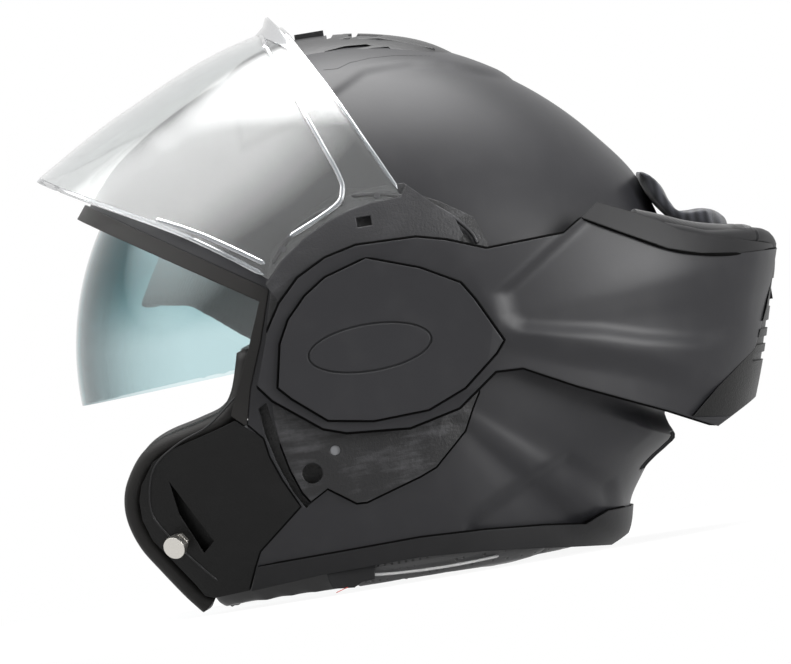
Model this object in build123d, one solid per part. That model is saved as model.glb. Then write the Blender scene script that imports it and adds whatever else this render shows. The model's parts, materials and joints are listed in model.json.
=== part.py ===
from build123d import *
from functools import cache
from math import cos, hypot, pi, radians, sin
import os

# A flip-up motorcycle helmet, chin bar folded to the back and visor raised.
# X runs from the wearer's face to the back of the head, Y from the left ear to the right, Z up.
# Every piece is drawn about the side pivot, then moved over the middle of its footprint.
# Outline shares are (x, z) from the pivot, and profile shares are (degrees, radius), of the dome radius.
# Profile degrees run from the back of the head over the crown to the face.

# Overall sizes
dome_radius = 146
shell_half_width = 116
side_flat = 2.5
side_power = 2.5
rest_share = 0.774
cut_overrun = 60
reach_share = 2.2
facet_size = 0.1

# Outer shell and what is trimmed onto it
shell_wall = 3.4
seal_proud = 2.4
seal_lap = 2.0
trim_proud = 1.2
trim_lining = 2.2
seam_gap = 0.3
lap_gap = 0.15

# Impact liner, comfort liner and pads
eps_side = 26
liner_thickness = 8
liner_channel_width = 9
liner_channel_depth = 3.5
liner_channel_pitch = 34
pad_thickness = 27
soft_gap = 0.3
neck_roll_height = 23.2
neck_roll_thickness = 20

# Side mechanism, counted outwards from the shell
plate_thickness = 1.6
plate_screw_radius = 2.4
plate_screw_length = 7
plate_hole_radius = 4.9
carrier_gap = 0.5
carrier_thickness = 3.6
flange_width = 6.5
chin_gap = 1.1
chin_wall = 4.5
cover_gap = 0.1
cover_thickness = 2.9
oval_long = 29.8
oval_short = 11.5
oval_groove_width = 0.9
oval_groove_depth = 0.8
stud_radius = 8.0
stud_flange_radius = 16
stud_flange_thickness = 2.1
stud_spigot_radius = 5.0
stud_bore_depth = 11
head_radius = 12.5
head_thickness = 2.0
head_seat_gap = 0.6
head_socket_radius = 3.2
head_socket_depth = 1.2
shank_radius = 3.0
running_fit = 0.08
standing_fit = 0.05
face_gap = 0.3

# Face shield
shield_thickness = 2.4
shield_lip_half_width = 62
shield_lip_height = 6.6
shield_crest_angle = 144
shield_rivet_radius = 1.6
shield_rivet_depth = 1.5
latch_window_long = 7.0
latch_window_short = 4.6

# Sun visor and its lever
sun_thickness = 2.0
sun_top_gap = 0.8
sun_side_gap = 3.4
sun_floor_gap = 0.7
lever_length = 22
lever_width = 5.0
lever_stem_height = 20
lever_drop = 8.5
lever_travel = 25
lever_angle = 256
lever_rim_gap = 1.8

# Chin bar
visor_chin_gap = 3.0
chin_skin = 3.2
panel_thickness = 2.2
louvre_height = 3.6
louvre_half_width = 46
vent_recess_width = 46
vent_recess_height = 13
vent_recess_depth = 6.0
vent_slider_width = 30
vent_slider_height = 6.4
vent_slider_thickness = 4.0
vent_rib_width = 6.0
button_width = 34
button_length = 9
button_height = 10
button_travel = 4
button_clearance = 0.3
curtain_half_width = 52

# Jaw latches
housing_thickness = 11
slot_depth = 5.0
pin_head_radius = 5.4
pin_head_thickness = 3.4
pin_neck_radius = 3.0
pin_collar_radius = 4.6
pin_collar_height = 2.2
pin_proud = 8.4
pin_root = 6.0
pin_angle = 216
socket_side_gap = 0.6

# Vents
vent_half_width = 92
vent_slot_width = 7.0
vent_slot_length = 30
vent_slot_depth = 4.0
vent_slot_pitch = 17
vent_slot_angle = 80
top_slider_length = 14
top_slider_width = 20
top_slider_thickness = 4.6
top_slider_travel = 9
top_slider_gap = 0.3
top_slider_floor = 2.6
top_slider_angle = 92
grille_half_width = 34
grille_bars = 5
grille_thickness = 2.4
grille_height = 15
grille_inset = 2.6

# Chin strap and buckle
strap_width = 20
strap_thickness = 1.6
anchor_radius = 6.5
anchor_head = 1.8
anchor_shank_radius = 3.0
buckle_length = 40
buckle_width = 25
buckle_height = 10
buckle_wall = 2.2
tongue_width = 17
tongue_thickness = 3.4
tongue_reach = 28
tongue_tail = 14
tooth_pitch = 3.0
tooth_height = 0.9
rack_width = 11.4
buckle_lever_length = 26
buckle_lever_thickness = 2.4
buckle_lever_gap = 0.9
buckle_hinge_inset = 4.4
buckle_knuckle_radius = 2.2
buckle_pin_radius = 1.0
buckle_pin_fit = 0.06

# Profiles
shell_profile_shares = [
    (0, 1.030), (22, 1.036), (34, 1.010), (51, 0.990), (66, 0.987), (82, 0.989), (98, 0.9955),
    (118, 0.9955), (128, 1.008), (136, 1.021), (145, 1.028), (162, 1.065), (182, 1.14), (205, 1.18),
    (231, 1.19), (250, 1.27), (270, 1.29), (290, 1.25), (301, 1.13), (309, 1.03), (313, 1.045),
    (316, 1.036), (320, 0.996), (326, 0.989), (338, 0.992), (350, 1.015),
]
spoiler_shares = [
    (0, 0), (180, 0), (326, 0), (329, 0.016), (332, 0.044), (334, 0.058), (336, 0.022), (338, 0),
]
spoiler_fade_shares = (0.52, 0.80)
cavity_profile_shares = [
    (0, 0.74), (45, 0.74), (90, 0.735), (140, 0.75), (165, 0.78), (185, 0.90), (205, 1.08),
    (231, 1.09), (250, 1.17), (275, 1.20), (292, 1.10), (310, 0.92), (330, 0.77),
]
pad_profile_shares = [
    (0, 0.60), (90, 0.60), (165, 0.66), (185, 0.78), (205, 0.95), (231, 1.02), (250, 1.08),
    (275, 1.10), (292, 0.98), (310, 0.80), (330, 0.65),
]
shield_profile_shares = [
    (0, 1.085), (60, 1.085), (104, 1.084), (111, 1.085), (118, 1.091), (125, 1.107), (134, 1.149),
    (140, 1.187), (144, 1.219), (150, 1.25), (170, 1.22), (220, 1.15), (300, 1.09),
]
chin_profile_shares = [
    (0, 1.345), (4, 1.375), (10, 1.377), (20, 1.352), (32, 1.32), (60, 1.30), (120, 1.30),
    (200, 1.30), (270, 1.29), (310, 1.275), (334, 1.275), (344, 1.278), (350, 1.297), (356, 1.314),
]
vent_profile_shares = [
    (0, 0.80), (50, 0.93), (63, 0.990), (70, 1.013), (79, 1.022), (90, 1.030), (98, 1.035),
    (104, 1.026), (108, 1.004), (118, 0.94), (180, 0.80), (270, 0.80),
]

# Outlines
brow_line_shares = [(-1.60, 1.110), (-0.848, 0.609), (-0.293, 0.239)]
far_share = 1.60
face_bottom_shares = [(-0.530, -1.600), (-1.600, -1.600)]
face_edge_shares = [(-0.347, 0.075), (-0.404, -0.066), (-0.436, -0.194)]
housing_back_shares = [
    (-0.389, -0.235), (-0.379, -0.298), (-0.351, -0.378), (-0.306, -0.473), (-0.460, -0.596),
    (-0.485, -0.645), (-0.517, -0.717),
]
housing_front_shares = [
    (-0.634, -0.724), (-0.663, -0.712), (-0.686, -0.672), (-0.757, -0.568), (-0.801, -0.506),
    (-0.823, -0.435), (-0.823, -0.372), (-0.807, -0.322), (-0.759, -0.255), (-0.707, -0.226),
    (-0.530, -0.181), (-0.472, -0.163),
]
seal_foot_shares = [(-0.437, -0.188), (-0.482, -0.146)]
seal_inner_shares = [(-0.446, -0.060), (-0.390, 0.060), (-0.330, 0.205), (-0.861, 0.554), (-1.60, 1.052)]
shell_hem_shares = [
    (-1.60, -0.676), (-0.505, -0.672), (0.060, -0.664), (0.278, -0.675), (0.465, -0.694),
    (0.598, -0.712), (0.678, -0.690), (1.60, -0.690),
]
trim_upper_shares = [
    (-0.479, -0.645), (0.060, -0.637), (0.278, -0.648), (0.465, -0.667), (0.598, -0.688),
    (0.678, -0.657), (0.980, -0.662),
]
trim_lower_shares = [
    (0.980, -0.700), (0.731, -0.749), (0.673, -0.774), (0.453, -0.739), (0.254, -0.714),
    (0.044, -0.699), (-0.270, -0.704), (-0.511, -0.720),
]
plate_shares = [
    (-0.341, -0.114), (-0.345, -0.181), (-0.338, -0.257), (-0.319, -0.349), (-0.292, -0.428),
    (-0.271, -0.461), (-0.210, -0.428), (-0.125, -0.490), (-0.091, -0.492), (0.093, -0.438),
    (0.147, -0.417), (0.259, -0.317), (0.295, -0.248), (0.327, -0.195), (0.360, 0.000),
    (0.435, 0.264), (0.401, 0.362), (0.300, 0.430), (0.187, 0.487), (0.000, 0.520),
    (-0.180, 0.440), (-0.280, 0.260), (-0.330, 0.080),
]
plate_screw_shares = [(-0.166, -0.311), (0.230, -0.215), (0.300, 0.300), (-0.210, 0.215)]
plate_hole_share = (-0.251, -0.372)
shield_lower_shares = [(-1.400, 0.942), (-0.991, 0.709), (-0.526, 0.445), (-0.288, 0.272)]
shield_arc_shares = [(126, 0.402), (111, 0.414), (100, 0.429), (89, 0.450), (80, 0.470), (69, 0.500)]
shield_upper_shares = [(0.095, 0.667), (0.009, 0.849), (-0.088, 1.028), (-0.153, 1.119), (-0.300, 1.390)]
lip_shares = [(-0.153, 1.155), (-0.128, 1.078), (-0.200, 1.060), (-0.235, 1.150)]
shield_front_share = (-1.400, 1.390)
carrier_front_share = (-0.300, 0.255)
seat_front_share = (-0.60, 0.460)
seat_back_shares = [(0.300, 0.640), (0.000, 1.000)]
carrier_tail_shares = [
    (0.341, 0.366), (0.359, 0.310), (0.150, 0.100), (0.060, -0.130), (-0.060, -0.130),
    (-0.180, 0.020),
]
latch_window_share = (0.048, 0.405)
shield_rivet_shares = [(122, 0.424), (100, 0.449), (78, 0.492)]
sun_visor_shares = [
    (-1.300, -0.090), (-0.968, -0.041), (-0.351, -0.008), (-0.200, -0.040), (0.000, -0.075),
    (0.070, 0.000), (0.000, 0.080), (-0.150, 0.140), (-0.272, 0.270), (-0.870, 0.660), (-1.300, 0.930),
]
sun_pocket_shares = [
    (-1.600, -0.180), (-0.500, -0.080), (0.000, -0.120), (0.130, 0.000), (0.240, 0.330),
    (0.270, 1.200), (-1.600, 1.200),
]
cover_shares = [
    (0.034, 0.286), (0.200, 0.226), (0.322, 0.157), (0.357, 0.101), (0.429, -0.048), (0.398, -0.085),
    (0.281, -0.178), (0.154, -0.228), (-0.026, -0.234), (-0.171, -0.209), (-0.275, -0.121),
    (-0.313, -0.079), (-0.283, 0.059), (-0.245, 0.130), (-0.180, 0.197), (-0.107, 0.245),
]
pod_shares = [
    (0.680, 0.260), (0.424, 0.252), (0.300, 0.301), (0.205, 0.326), (0.009, 0.332), (-0.096, 0.308),
    (-0.193, 0.259), (-0.265, 0.188), (-0.321, 0.101), (-0.381, -0.061), (-0.339, -0.116),
    (-0.192, -0.233), (-0.120, -0.258), (0.086, -0.276), (0.253, -0.239), (0.388, -0.142),
    (0.478, -0.146),
]
arm_lower_shares = [(0.642, -0.233), (0.919, -0.362), (1.077, -0.444), (1.235, -0.368), (1.600, -0.270)]
arm_upper_shares = [
    (1.600, 0.030), (1.368, 0.093), (1.220, 0.102), (1.112, 0.121), (1.006, 0.157), (0.869, 0.232),
    (0.746, 0.301),
]
rim_upper_shares = [
    (0.806, 0.343), (0.916, 0.291), (0.992, 0.253), (1.059, 0.208), (1.193, 0.163), (1.371, 0.107),
    (1.600, 0.046),
]
panel_line_shares = [
    (1.500, 0.070), (1.369, 0.094), (1.301, -0.091), (1.241, -0.214), (1.097, -0.317),
    (1.000, -0.397), (1.600, -0.500),
]
solid_pod_share = 0.50
chin_liner_start_share = 0.62
chin_vent_share = -0.045
louvre_shares = [-0.145, -0.195, -0.245]
button_share = (1.290, 0.108)
curtain_shares = [
    (0.953, 0.434), (0.985, 0.330), (1.029, 0.254), (1.101, 0.206), (1.160, 0.185), (1.215, 0.125),
    (1.262, 0.130), (1.195, 0.240), (1.154, 0.262), (1.110, 0.258), (1.061, 0.266), (1.032, 0.311),
    (1.010, 0.380),
]
slot_shares = [(-0.716, -0.323), (-0.604, -0.539), (-0.642, -0.572), (-0.701, -0.435)]
pin_share = (-0.711, -0.522)
socket_floor_share = 0.095
cheek_shares = [
    (-0.600, -0.260), (-0.380, -0.150), (-0.120, -0.140), (0.010, -0.260), (0.030, -0.500),
    (0.010, -0.800), (-0.300, -0.830), (-0.610, -0.800), (-0.660, -0.700), (-0.680, -0.480),
]
cheek_puff_shares = [(0.20, 0.80), (0.34, 0.95), (0.62, 1.0), (0.86, 0.98), (1.0, 0.94)]
crown_liner_shares = [
    (-1.600, 0.300), (-0.560, 0.230), (-0.300, 0.020), (0.300, -0.150), (1.600, -0.300),
    (1.600, 1.600), (-1.600, 1.600),
]
eps_face_shares = [
    (-1.60, 1.130), (-0.848, 0.628), (-0.284, 0.252), (-0.336, 0.075), (-0.392, -0.066), (-0.424, -0.210),
    (-0.700, -0.250), (-0.790, -0.420), (-0.640, -0.690), (-0.560, -1.600), (-1.60, -1.600),
]
eps_hem_share = 0.632
neck_front_share = 0.08
neck_back_share = 0.56
neck_level_share = 0.712
neck_end_share = 0.55
strap_x_share = 0.137
strap_path_shares = [(1.0, -0.130), (1.0, -0.24), (0.955, -0.40), (0.68, -0.555)]
anchor_level_share = -0.18
buckle_level_share = -0.60
grille_shares = [(0.74, -0.443), (0.74, -0.555), (1.20, -0.60), (1.20, -0.42)]
grille_middle_share = (329, 0.990)
grille_open_share = 0.55
top_slider_share = -0.030
lever_share = (-0.183, -0.704)
lever_tab_shares = [(-1, 0), (-0.9, -0.6), (-0.3, -1), (0.2, -0.35), (1, -0.3), (1, 0)]
tooth_tip_share = 0.8

# Counts and sections
even_angles = list(range(0, 360, 10))
shell_angles = list(range(0, 300, 12)) + [300, 305, 309, 313, 317, 321, 326, 329, 332, 334, 336, 338, 348]
station_shares = [0, 0.35, 0.60, 0.77, 0.88, 0.95, 1.0]


def at(share):
    """The (x, z) place of an outline share."""
    return (share[0] * dome_radius, share[1] * dome_radius)


def polar(angle, share):
    """The outline share at an angle and a radius share about the pivot."""
    return (share * cos(radians(angle)), share * sin(radians(angle)))


def bulge(y, half_width):
    """How much of its middle size a section keeps at a distance y from the middle."""
    return (1 - (abs(y) / half_width) ** side_power) ** (1 / side_power)


def blend(shares, angle):
    """A smooth closed curve through (angle, share) pairs, read at one angle."""
    count = len(shares)
    place = angle % 360
    step = max(i for i in range(count) if shares[i][0] <= place)
    start, value = shares[step]
    around = [(angle + turn, share) for turn in (-360, 0, 360) for angle, share in shares]
    before = around[count + step - 1]
    after = around[count + step + 1:count + step + 3]
    span = after[0][0] - start
    t = (place - start) / span
    slope_in = (after[0][1] - before[1]) / (after[0][0] - before[0]) * span
    slope_out = (after[1][1] - value) / (after[1][0] - start) * span
    rise = after[0][1] - value
    bend = 3 * rise - 2 * slope_in - slope_out
    return value + t * slope_in + t * t * bend + t ** 3 * (slope_in + slope_out - 2 * rise)


def profile(shares, offset=0):
    """A radius in millimetres at an angle, with a wall added or taken off."""
    return lambda angle, y: blend(shares, angle) * dome_radius + offset


def shell_radius(offset=0):
    """The shell's radius, with the spoiler lip that fades out towards the sides."""
    full, none = [share * shell_half_width for share in spoiler_fade_shares]

    def radius(angle, y):
        fade = min(1, max(0, (none - abs(y)) / (none - full)))
        share = blend(shell_profile_shares, angle) + fade * blend(spoiler_shares, angle)
        return share * dome_radius + offset
    return radius


def formed_body(radius, half_width, angles=even_angles):
    """A closed body whose sections shrink towards both sides like a helmet."""
    flat = half_width - side_flat
    sections = sorted({sign * share * flat for share in station_shares for sign in (-1, 1)})
    wires = []
    for y in sections:
        shrink = bulge(y, half_width)
        ring = [(angle, radius(angle, y) * shrink) for angle in angles]
        points = [Vector(r * cos(radians(angle)), y, r * sin(radians(angle))) for angle, r in ring]
        wires.append(Wire([Edge.make_spline(points, periodic=True)]))
    return Solid.make_loft(wires)


def turned_body(radius, half_width):
    """The same body with one radius all round, turned about the pivot axis."""
    flat = half_width - side_flat
    count = len(station_shares)
    stations = [flat * sin(pi / 2 * step / count) for step in range(-count, count + 1)]
    rim = [(radius * bulge(y, half_width), y) for y in stations]
    with BuildSketch(Plane.XY) as face:
        with BuildLine():
            Spline(*rim)
            Polyline(rim[-1], (0, flat), (0, -flat), rim[0])
        make_face()
    return revolve(face.sketch, axis=Axis.Y)


def prism(shares, half_width=None):
    """A bar of the given side outline, across the whole helmet."""
    outline = Polyline(*[at(share) for share in shares], close=True)
    reach = half_width or shell_half_width + cut_overrun
    return extrude(Plane.XZ * make_face(outline), amount=reach, both=True)


def left_prism(shares):
    """The half of such a bar on the wearer's left."""
    outline = Polyline(*[at(share) for share in shares], close=True)
    return extrude(Plane.XZ * make_face(outline), amount=shell_half_width + cut_overrun)


def span_box(x_range, y_range, z_range):
    """A box between two values on each axis."""
    sizes = [high - low for low, high in (x_range, y_range, z_range)]
    middle = [(high + low) / 2 for low, high in (x_range, y_range, z_range)]
    return Pos(*middle) * Box(*sizes)


def rod(x, z, radius, y_from, y_to):
    """A round bar along Y."""
    return Pos(x, (y_from + y_to) / 2, z) * Rot(90, 0, 0) * Cylinder(radius, abs(y_to - y_from))


def everywhere():
    """Half the size of a box that holds the whole helmet."""
    return reach_share * dome_radius


def right_of(piece):
    """The mirrored twin of a left piece."""
    return mirror(piece, about=Plane.XZ)


def above_rest():
    """Everything over the plane that the helmet rests on."""
    size = everywhere()
    return span_box((-size, size), (-size, size), (-rest_share * dome_radius, size))


def side_levels():
    """Half widths of the nested layers, from the shell outwards."""
    plate = shell_half_width + seam_gap + plate_thickness
    carrier_inner = plate + carrier_gap
    carrier = carrier_inner + carrier_thickness
    chin_inner = carrier + chin_gap
    chin = chin_inner + chin_wall
    cover = chin + cover_gap + cover_thickness
    return {"plate": plate, "carrier_inner": carrier_inner, "carrier": carrier, "chin_inner": chin_inner,
            "chin": chin, "cover": cover}


levels = side_levels()
crown_share = min(share for angle, share in shell_profile_shares if 90 < angle < 130)
sun_radius = crown_share * dome_radius - shell_wall - sun_top_gap
sun_half_width = shell_half_width - shell_wall - sun_side_gap
chin_clear_radius = blend(shield_profile_shares, shield_crest_angle) * dome_radius + visor_chin_gap


@cache
def shell_body(offset, half_width):
    """The shell's outer form, offset."""
    return formed_body(shell_radius(offset), half_width, shell_angles)


def face_opening():
    """What is open in front of the shell."""
    return prism(brow_line_shares + face_edge_shares + housing_back_shares + face_bottom_shares)


def below(line_shares):
    """Everything under a line that runs from front to back."""
    return prism(line_shares + [(far_share, -far_share), (-far_share, -far_share)])


def above(line_shares):
    """Everything over a line that runs from front to back."""
    return prism(line_shares + [(far_share, far_share), (-far_share, far_share)])


def outer_shell():
    """The hard shell, open at the face and the neck, with its holes."""
    flat = shell_half_width - side_flat
    hole = stud_radius + standing_fit
    cuts = [shell_body(-shell_wall, shell_half_width - shell_wall), face_opening(), below(shell_hem_shares)]
    cuts.append(prism(grille_shares, grille_half_width))
    for side in (-1, 1):
        cuts.append(rod(0, 0, hole, side * flat / 2, side * (flat + cut_overrun)))
        for share in plate_screw_shares:
            x, z = at(share)
            screw_hole = plate_screw_radius + standing_fit
            cuts.append(rod(x, z, screw_hole, side * flat / 2, side * (flat + cut_overrun)))
    return shell_body(0, shell_half_width) - cuts


def eyeport_seal():
    """The rubber strip along the brow and down both sides of the face opening."""
    outline = brow_line_shares + face_edge_shares[:-1] + seal_foot_shares + seal_inner_shares
    lining = shell_wall + seal_lap
    band = shell_body(seal_proud, shell_half_width + seam_gap) & prism(outline)
    return band - shell_body(-lining, shell_half_width - lining)


def bottom_rim_trim():
    """The trim under the shell's lower edge, with a lip that laps the shell's outside."""
    lining = shell_wall + trim_lining
    band = shell_body(trim_proud, shell_half_width + trim_proud)
    band &= prism(trim_upper_shares + trim_lower_shares)
    lapped = shell_body(lap_gap, shell_half_width + lap_gap) & above(shell_hem_shares)
    return band - [shell_body(-lining, shell_half_width - lining), lapped]


def sun_pocket():
    """The gap between shell and impact liner that the sun visor slides into."""
    floor = sun_thickness + sun_floor_gap
    inner = turned_body(sun_radius - floor, sun_half_width - floor)
    outer = turned_body(everywhere(), everywhere())
    return (outer - inner) & prism(sun_pocket_shares)


def eps_liner():
    """The moulded foam that takes the impact."""
    outside = shell_body(-shell_wall - soft_gap, shell_half_width - shell_wall - soft_gap)
    jaw = shell_body(-housing_thickness - soft_gap, shell_half_width - housing_thickness - soft_gap)
    size = everywhere()
    low = span_box((-size, size), (-size, size), (-size, -eps_hem_share * dome_radius))
    openings = [prism(eps_face_shares), prism(grille_shares, grille_half_width), low]
    x, z = strap_x_share * dome_radius, anchor_level_share * dome_radius
    holes = [rod(x, z, anchor_shank_radius + soft_gap, -shell_half_width, shell_half_width), lever_slot()]
    flat = shell_half_width - side_flat - shell_wall
    for side in (-1, 1):
        end = side * shell_half_width
        flange_face = side * (flat - stud_flange_thickness - soft_gap)
        holes.append(rod(0, 0, stud_flange_radius + soft_gap, flange_face, end))
        for share in plate_screw_shares:
            sx, sz = at(share)
            holes.append(rod(sx, sz, plate_screw_radius + soft_gap, side * (flat - plate_screw_length), end))
    foam = outside - openings
    foam -= prism(housing_back_shares + housing_front_shares) - jaw
    foam -= sun_pocket()
    foam -= formed_body(profile(cavity_profile_shares), cavity_half_width())
    return foam - holes


def cavity_half_width():
    """Half the width inside the impact liner."""
    return shell_half_width - shell_wall - soft_gap - eps_side


def crown_liner():
    """The padded comfort liner, with channels for air from front to back."""
    outer = formed_body(profile(cavity_profile_shares, -soft_gap), cavity_half_width() - soft_gap)
    inner_profile = profile(cavity_profile_shares, -liner_thickness)
    inner = formed_body(inner_profile, cavity_half_width() - liner_thickness)
    liner = (outer - inner) & prism(crown_liner_shares)
    depth = liner_thickness - liner_channel_depth
    channel = formed_body(profile(cavity_profile_shares, -depth), cavity_half_width() - depth)
    size = everywhere()
    for row in (-1, 0, 1):
        y = row * liner_channel_pitch
        half = liner_channel_width / 2
        slab = span_box((-size, size), (y - half, y + half), (-size, size))
        liner -= channel & slab
    return liner


def cheek_pad_left():
    """A cheek cushion: crowned towards the face, drawn in round its edge."""
    half = cavity_half_width() - soft_gap
    layer = formed_body(profile(cavity_profile_shares, -soft_gap), half)
    layer -= formed_body(profile(pad_profile_shares), half - pad_thickness)
    xs = [share[0] for share in cheek_shares]
    zs = [share[1] for share in cheek_shares]
    middle = ((max(xs) + min(xs)) / 2, (max(zs) + min(zs)) / 2)
    wires = []
    for across, scale in cheek_puff_shares:
        ring = [at([m + (s - m) * scale for m, s in zip(middle, share)]) for share in cheek_shares]
        points = [Vector(x, -across * half, z) for x, z in ring]
        wires.append(Wire([Edge.make_spline(points, periodic=True)]))
    return layer & Solid.make_loft(wires) & above_rest()


def neck_roll():
    """The padded roll round the back and sides of the neck, pinched at its two ends."""
    side = neck_half_width()
    front = neck_front_share * dome_radius
    depth = neck_back_share * dome_radius - front
    wires = []
    level = -neck_level_share * dome_radius
    for turn in range(-90, 91, 15):
        ahead, aside = cos(radians(turn)), sin(radians(turn))
        place = Vector(front + depth * ahead, side * aside, level)
        along = Vector(-depth * aside, side * ahead, 0)
        frame = Plane(origin=place, x_dir=along.cross(Vector(0, 0, 1)), z_dir=along)
        end = neck_end_share if abs(turn) == 90 else 1
        ring = frame * Ellipse(end * neck_roll_thickness / 2, end * neck_roll_height / 2)
        wires.append(ring.face().outer_wire())
    return Solid.make_loft(wires) & above_rest()


def neck_half_width():
    """Half the width of the neck roll's middle line."""
    return cavity_half_width() - neck_roll_thickness / 2 - soft_gap


def base_plate_left():
    """The plate that carries the pivot and guides the visor."""
    outline = left_prism(plate_shares)
    plate = shell_body(seam_gap + plate_thickness, levels["plate"]) & outline
    plate -= shell_body(seam_gap, shell_half_width + seam_gap)
    reach = levels["plate"] + cut_overrun
    x, z = at(plate_hole_share)
    cuts = [rod(0, 0, stud_radius + standing_fit, -reach, 0), rod(x, z, plate_hole_radius, -reach, 0)]
    for share in plate_screw_shares:
        x, z = at(share)
        cuts.append(rod(x, z, plate_screw_radius + standing_fit, -reach, 0))
    return plate - cuts


def side_depth(share, half_width, radius):
    """How far out a formed surface lies at an outline share, for one middle radius."""
    near = min(1, hypot(*at(share)) / radius)
    return min(half_width - side_flat, half_width * (1 - near ** side_power) ** (1 / side_power))


def base_plate_screws():
    """The countersunk screws that hold both base plates, heads level with the plate."""
    screws = []
    for side in (-1, 1):
        for share in plate_screw_shares:
            x, z = at(share)
            out = side_depth(share, levels["plate"], dome_radius)
            tip = out - plate_screw_length
            screws.append(rod(x, z, plate_screw_radius, side * tip, side * (out - seam_gap)))
    return screws


def pivot_stud_left():
    """The bush that both hinges turn on, clamped through shell and base plate."""
    flat = shell_half_width - side_flat - shell_wall
    tip = levels["chin_inner"] - side_flat + chin_wall - head_thickness - face_gap / 2
    stud = rod(0, 0, stud_flange_radius, -(flat - stud_flange_thickness), -flat)
    stud += rod(0, 0, stud_radius, -flat, -tip)
    spigot_end = sun_half_width - side_flat - sun_thickness - sun_floor_gap / 2
    stud += rod(0, 0, stud_spigot_radius, -spigot_end, -flat)
    return stud - rod(0, 0, shank_radius + standing_fit, -(tip - stud_bore_depth), -tip)


def pivot_screws():
    """One broad-headed screw in each stud, under the pod cover."""
    screws = []
    tip = levels["chin_inner"] - side_flat + chin_wall - head_thickness - face_gap / 2
    for side in (-1, 1):
        screw = rod(0, 0, head_radius, side * tip, side * (tip + head_thickness))
        screw += rod(0, 0, shank_radius, side * (tip - stud_bore_depth + face_gap), side * tip)
        top = tip + head_thickness
        socket = Pos(0, side * (top - head_socket_depth / 2), 0) * Rot(90, 0, 0)
        hexagon = RegularPolygon(head_socket_radius, 6)
        screw -= socket * extrude(hexagon, amount=head_socket_depth / 2, both=True)
        screws.append(screw)
    return screws


def shield_outline():
    """The side outline of the clear shield."""
    arc = [polar(angle, share) for angle, share in shield_arc_shares]
    return shield_lower_shares + arc + shield_upper_shares + [shield_front_share]


def face_shield():
    """The clear shield, with a finger lip in the middle of its upper edge."""
    inner_profile = profile(shield_profile_shares, -shield_thickness)
    inner = formed_body(inner_profile, levels["carrier"] - shield_thickness)
    sheet = formed_body(profile(shield_profile_shares), levels["carrier"]) & prism(shield_outline())
    lip = formed_body(profile(shield_profile_shares, shield_lip_height), levels["carrier"])
    sheet += lip & prism(lip_shares, shield_lip_half_width)
    return sheet - [inner] - shield_rivets(lap_gap)


def visor_carrier_left():
    """The black plate that joins the shield to the pivot: a flange under the shield and a latch window."""
    flange = flange_width / dome_radius
    arc = [polar(angle, share + flange) for angle, share in shield_arc_shares]
    plate = formed_body(profile(shield_profile_shares), levels["carrier"])
    plate &= left_prism([carrier_front_share] + arc + carrier_tail_shares)
    inner_profile = profile(shield_profile_shares, -carrier_thickness)
    inner = formed_body(inner_profile, levels["carrier"] - carrier_thickness)
    rebate_depth = shield_thickness + lap_gap
    rebate = formed_body(profile(shield_profile_shares, -rebate_depth), levels["carrier"] - rebate_depth)
    seat = [polar(angle, share - lap_gap / dome_radius) for angle, share in shield_arc_shares]
    above_seat = left_prism([seat_front_share, carrier_front_share] + seat + seat_back_shares) - rebate
    reach = levels["carrier"] + cut_overrun
    x, z = at(latch_window_share)
    window = span_box((x - latch_window_long / 2, x + latch_window_long / 2), (-reach, 0),
                      (z - latch_window_short / 2, z + latch_window_short / 2))
    bore = rod(0, 0, stud_radius + running_fit, -reach, 0)
    return plate - [inner, above_seat, bore, window] - shield_rivets(lap_gap)


def sun_visor():
    """The tinted inner visor and the two arms that carry it on the pivot."""
    outer = turned_body(sun_radius, sun_half_width)
    inner = turned_body(sun_radius - sun_thickness, sun_half_width - sun_thickness)
    sheet = (outer - inner) & prism(sun_visor_shares)
    reach = sun_half_width
    return sheet - rod(0, 0, stud_spigot_radius + running_fit, -reach, reach)


def lever_place():
    """Where the sun visor's lever rides: x, y and z of its tab."""
    x, z = at(lever_share)
    lining = shell_wall + trim_lining
    radius = blend(shell_profile_shares, lever_angle) * dome_radius
    y = side_depth(lever_share, shell_half_width - lining, radius - lining) - lever_width / 2 - lever_rim_gap
    return x, -y, z


def lever_slot():
    """The way that the lever's stem travels in, behind the rim."""
    x, y, z = lever_place()
    half = lever_length / 2 + face_gap
    wide = lever_width / 2 + face_gap
    return span_box((x - half, x + half + lever_travel), (y - wide, y + wide),
                    (z - cut_overrun, z + lever_stem_height + face_gap))


def sun_visor_lever():
    """The slider that works the sun visor, a finger tab under the rim."""
    x, y, z = lever_place()
    half = lever_length / 2
    y_range = (y - lever_width / 2, y + lever_width / 2)
    stem = span_box((x - half, x + half), y_range, (z, z + lever_stem_height))
    corners = [(x + along * half, z + down * lever_drop) for along, down in lever_tab_shares]
    tab_outline = Polyline(*corners, close=True)
    tab = Plane.XZ * make_face(tab_outline)
    return stem + Pos(0, y, 0) * extrude(tab, amount=lever_width / 2, both=True)


def chin_outline():
    """The side outline of the chin bar without its rim trim."""
    return pod_shares + arm_lower_shares + arm_upper_shares


@cache
def chin_form(offset):
    """The chin bar's outer form, offset."""
    return formed_body(profile(chin_profile_shares, offset), levels["chin"] + offset)


@cache
def chin_sweep():
    """The space inside the chin bar, turned so that it clears all it passes."""
    return turned_body(chin_clear_radius, levels["chin_inner"])


def button_footprint(grow):
    """The release button's ranges on X and Y, grown."""
    x = button_share[0] * dome_radius
    half_x = button_length / 2 + grow
    half_y = button_width / 2 + grow
    return (x - half_x, x + half_x), (-half_y, half_y)


def button_space(grow, travel):
    """The space of the release button, grown and lengthened by its travel."""
    top = button_share[1] * dome_radius
    return span_box(*button_footprint(grow), (top - button_height - travel - grow, top))


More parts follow.
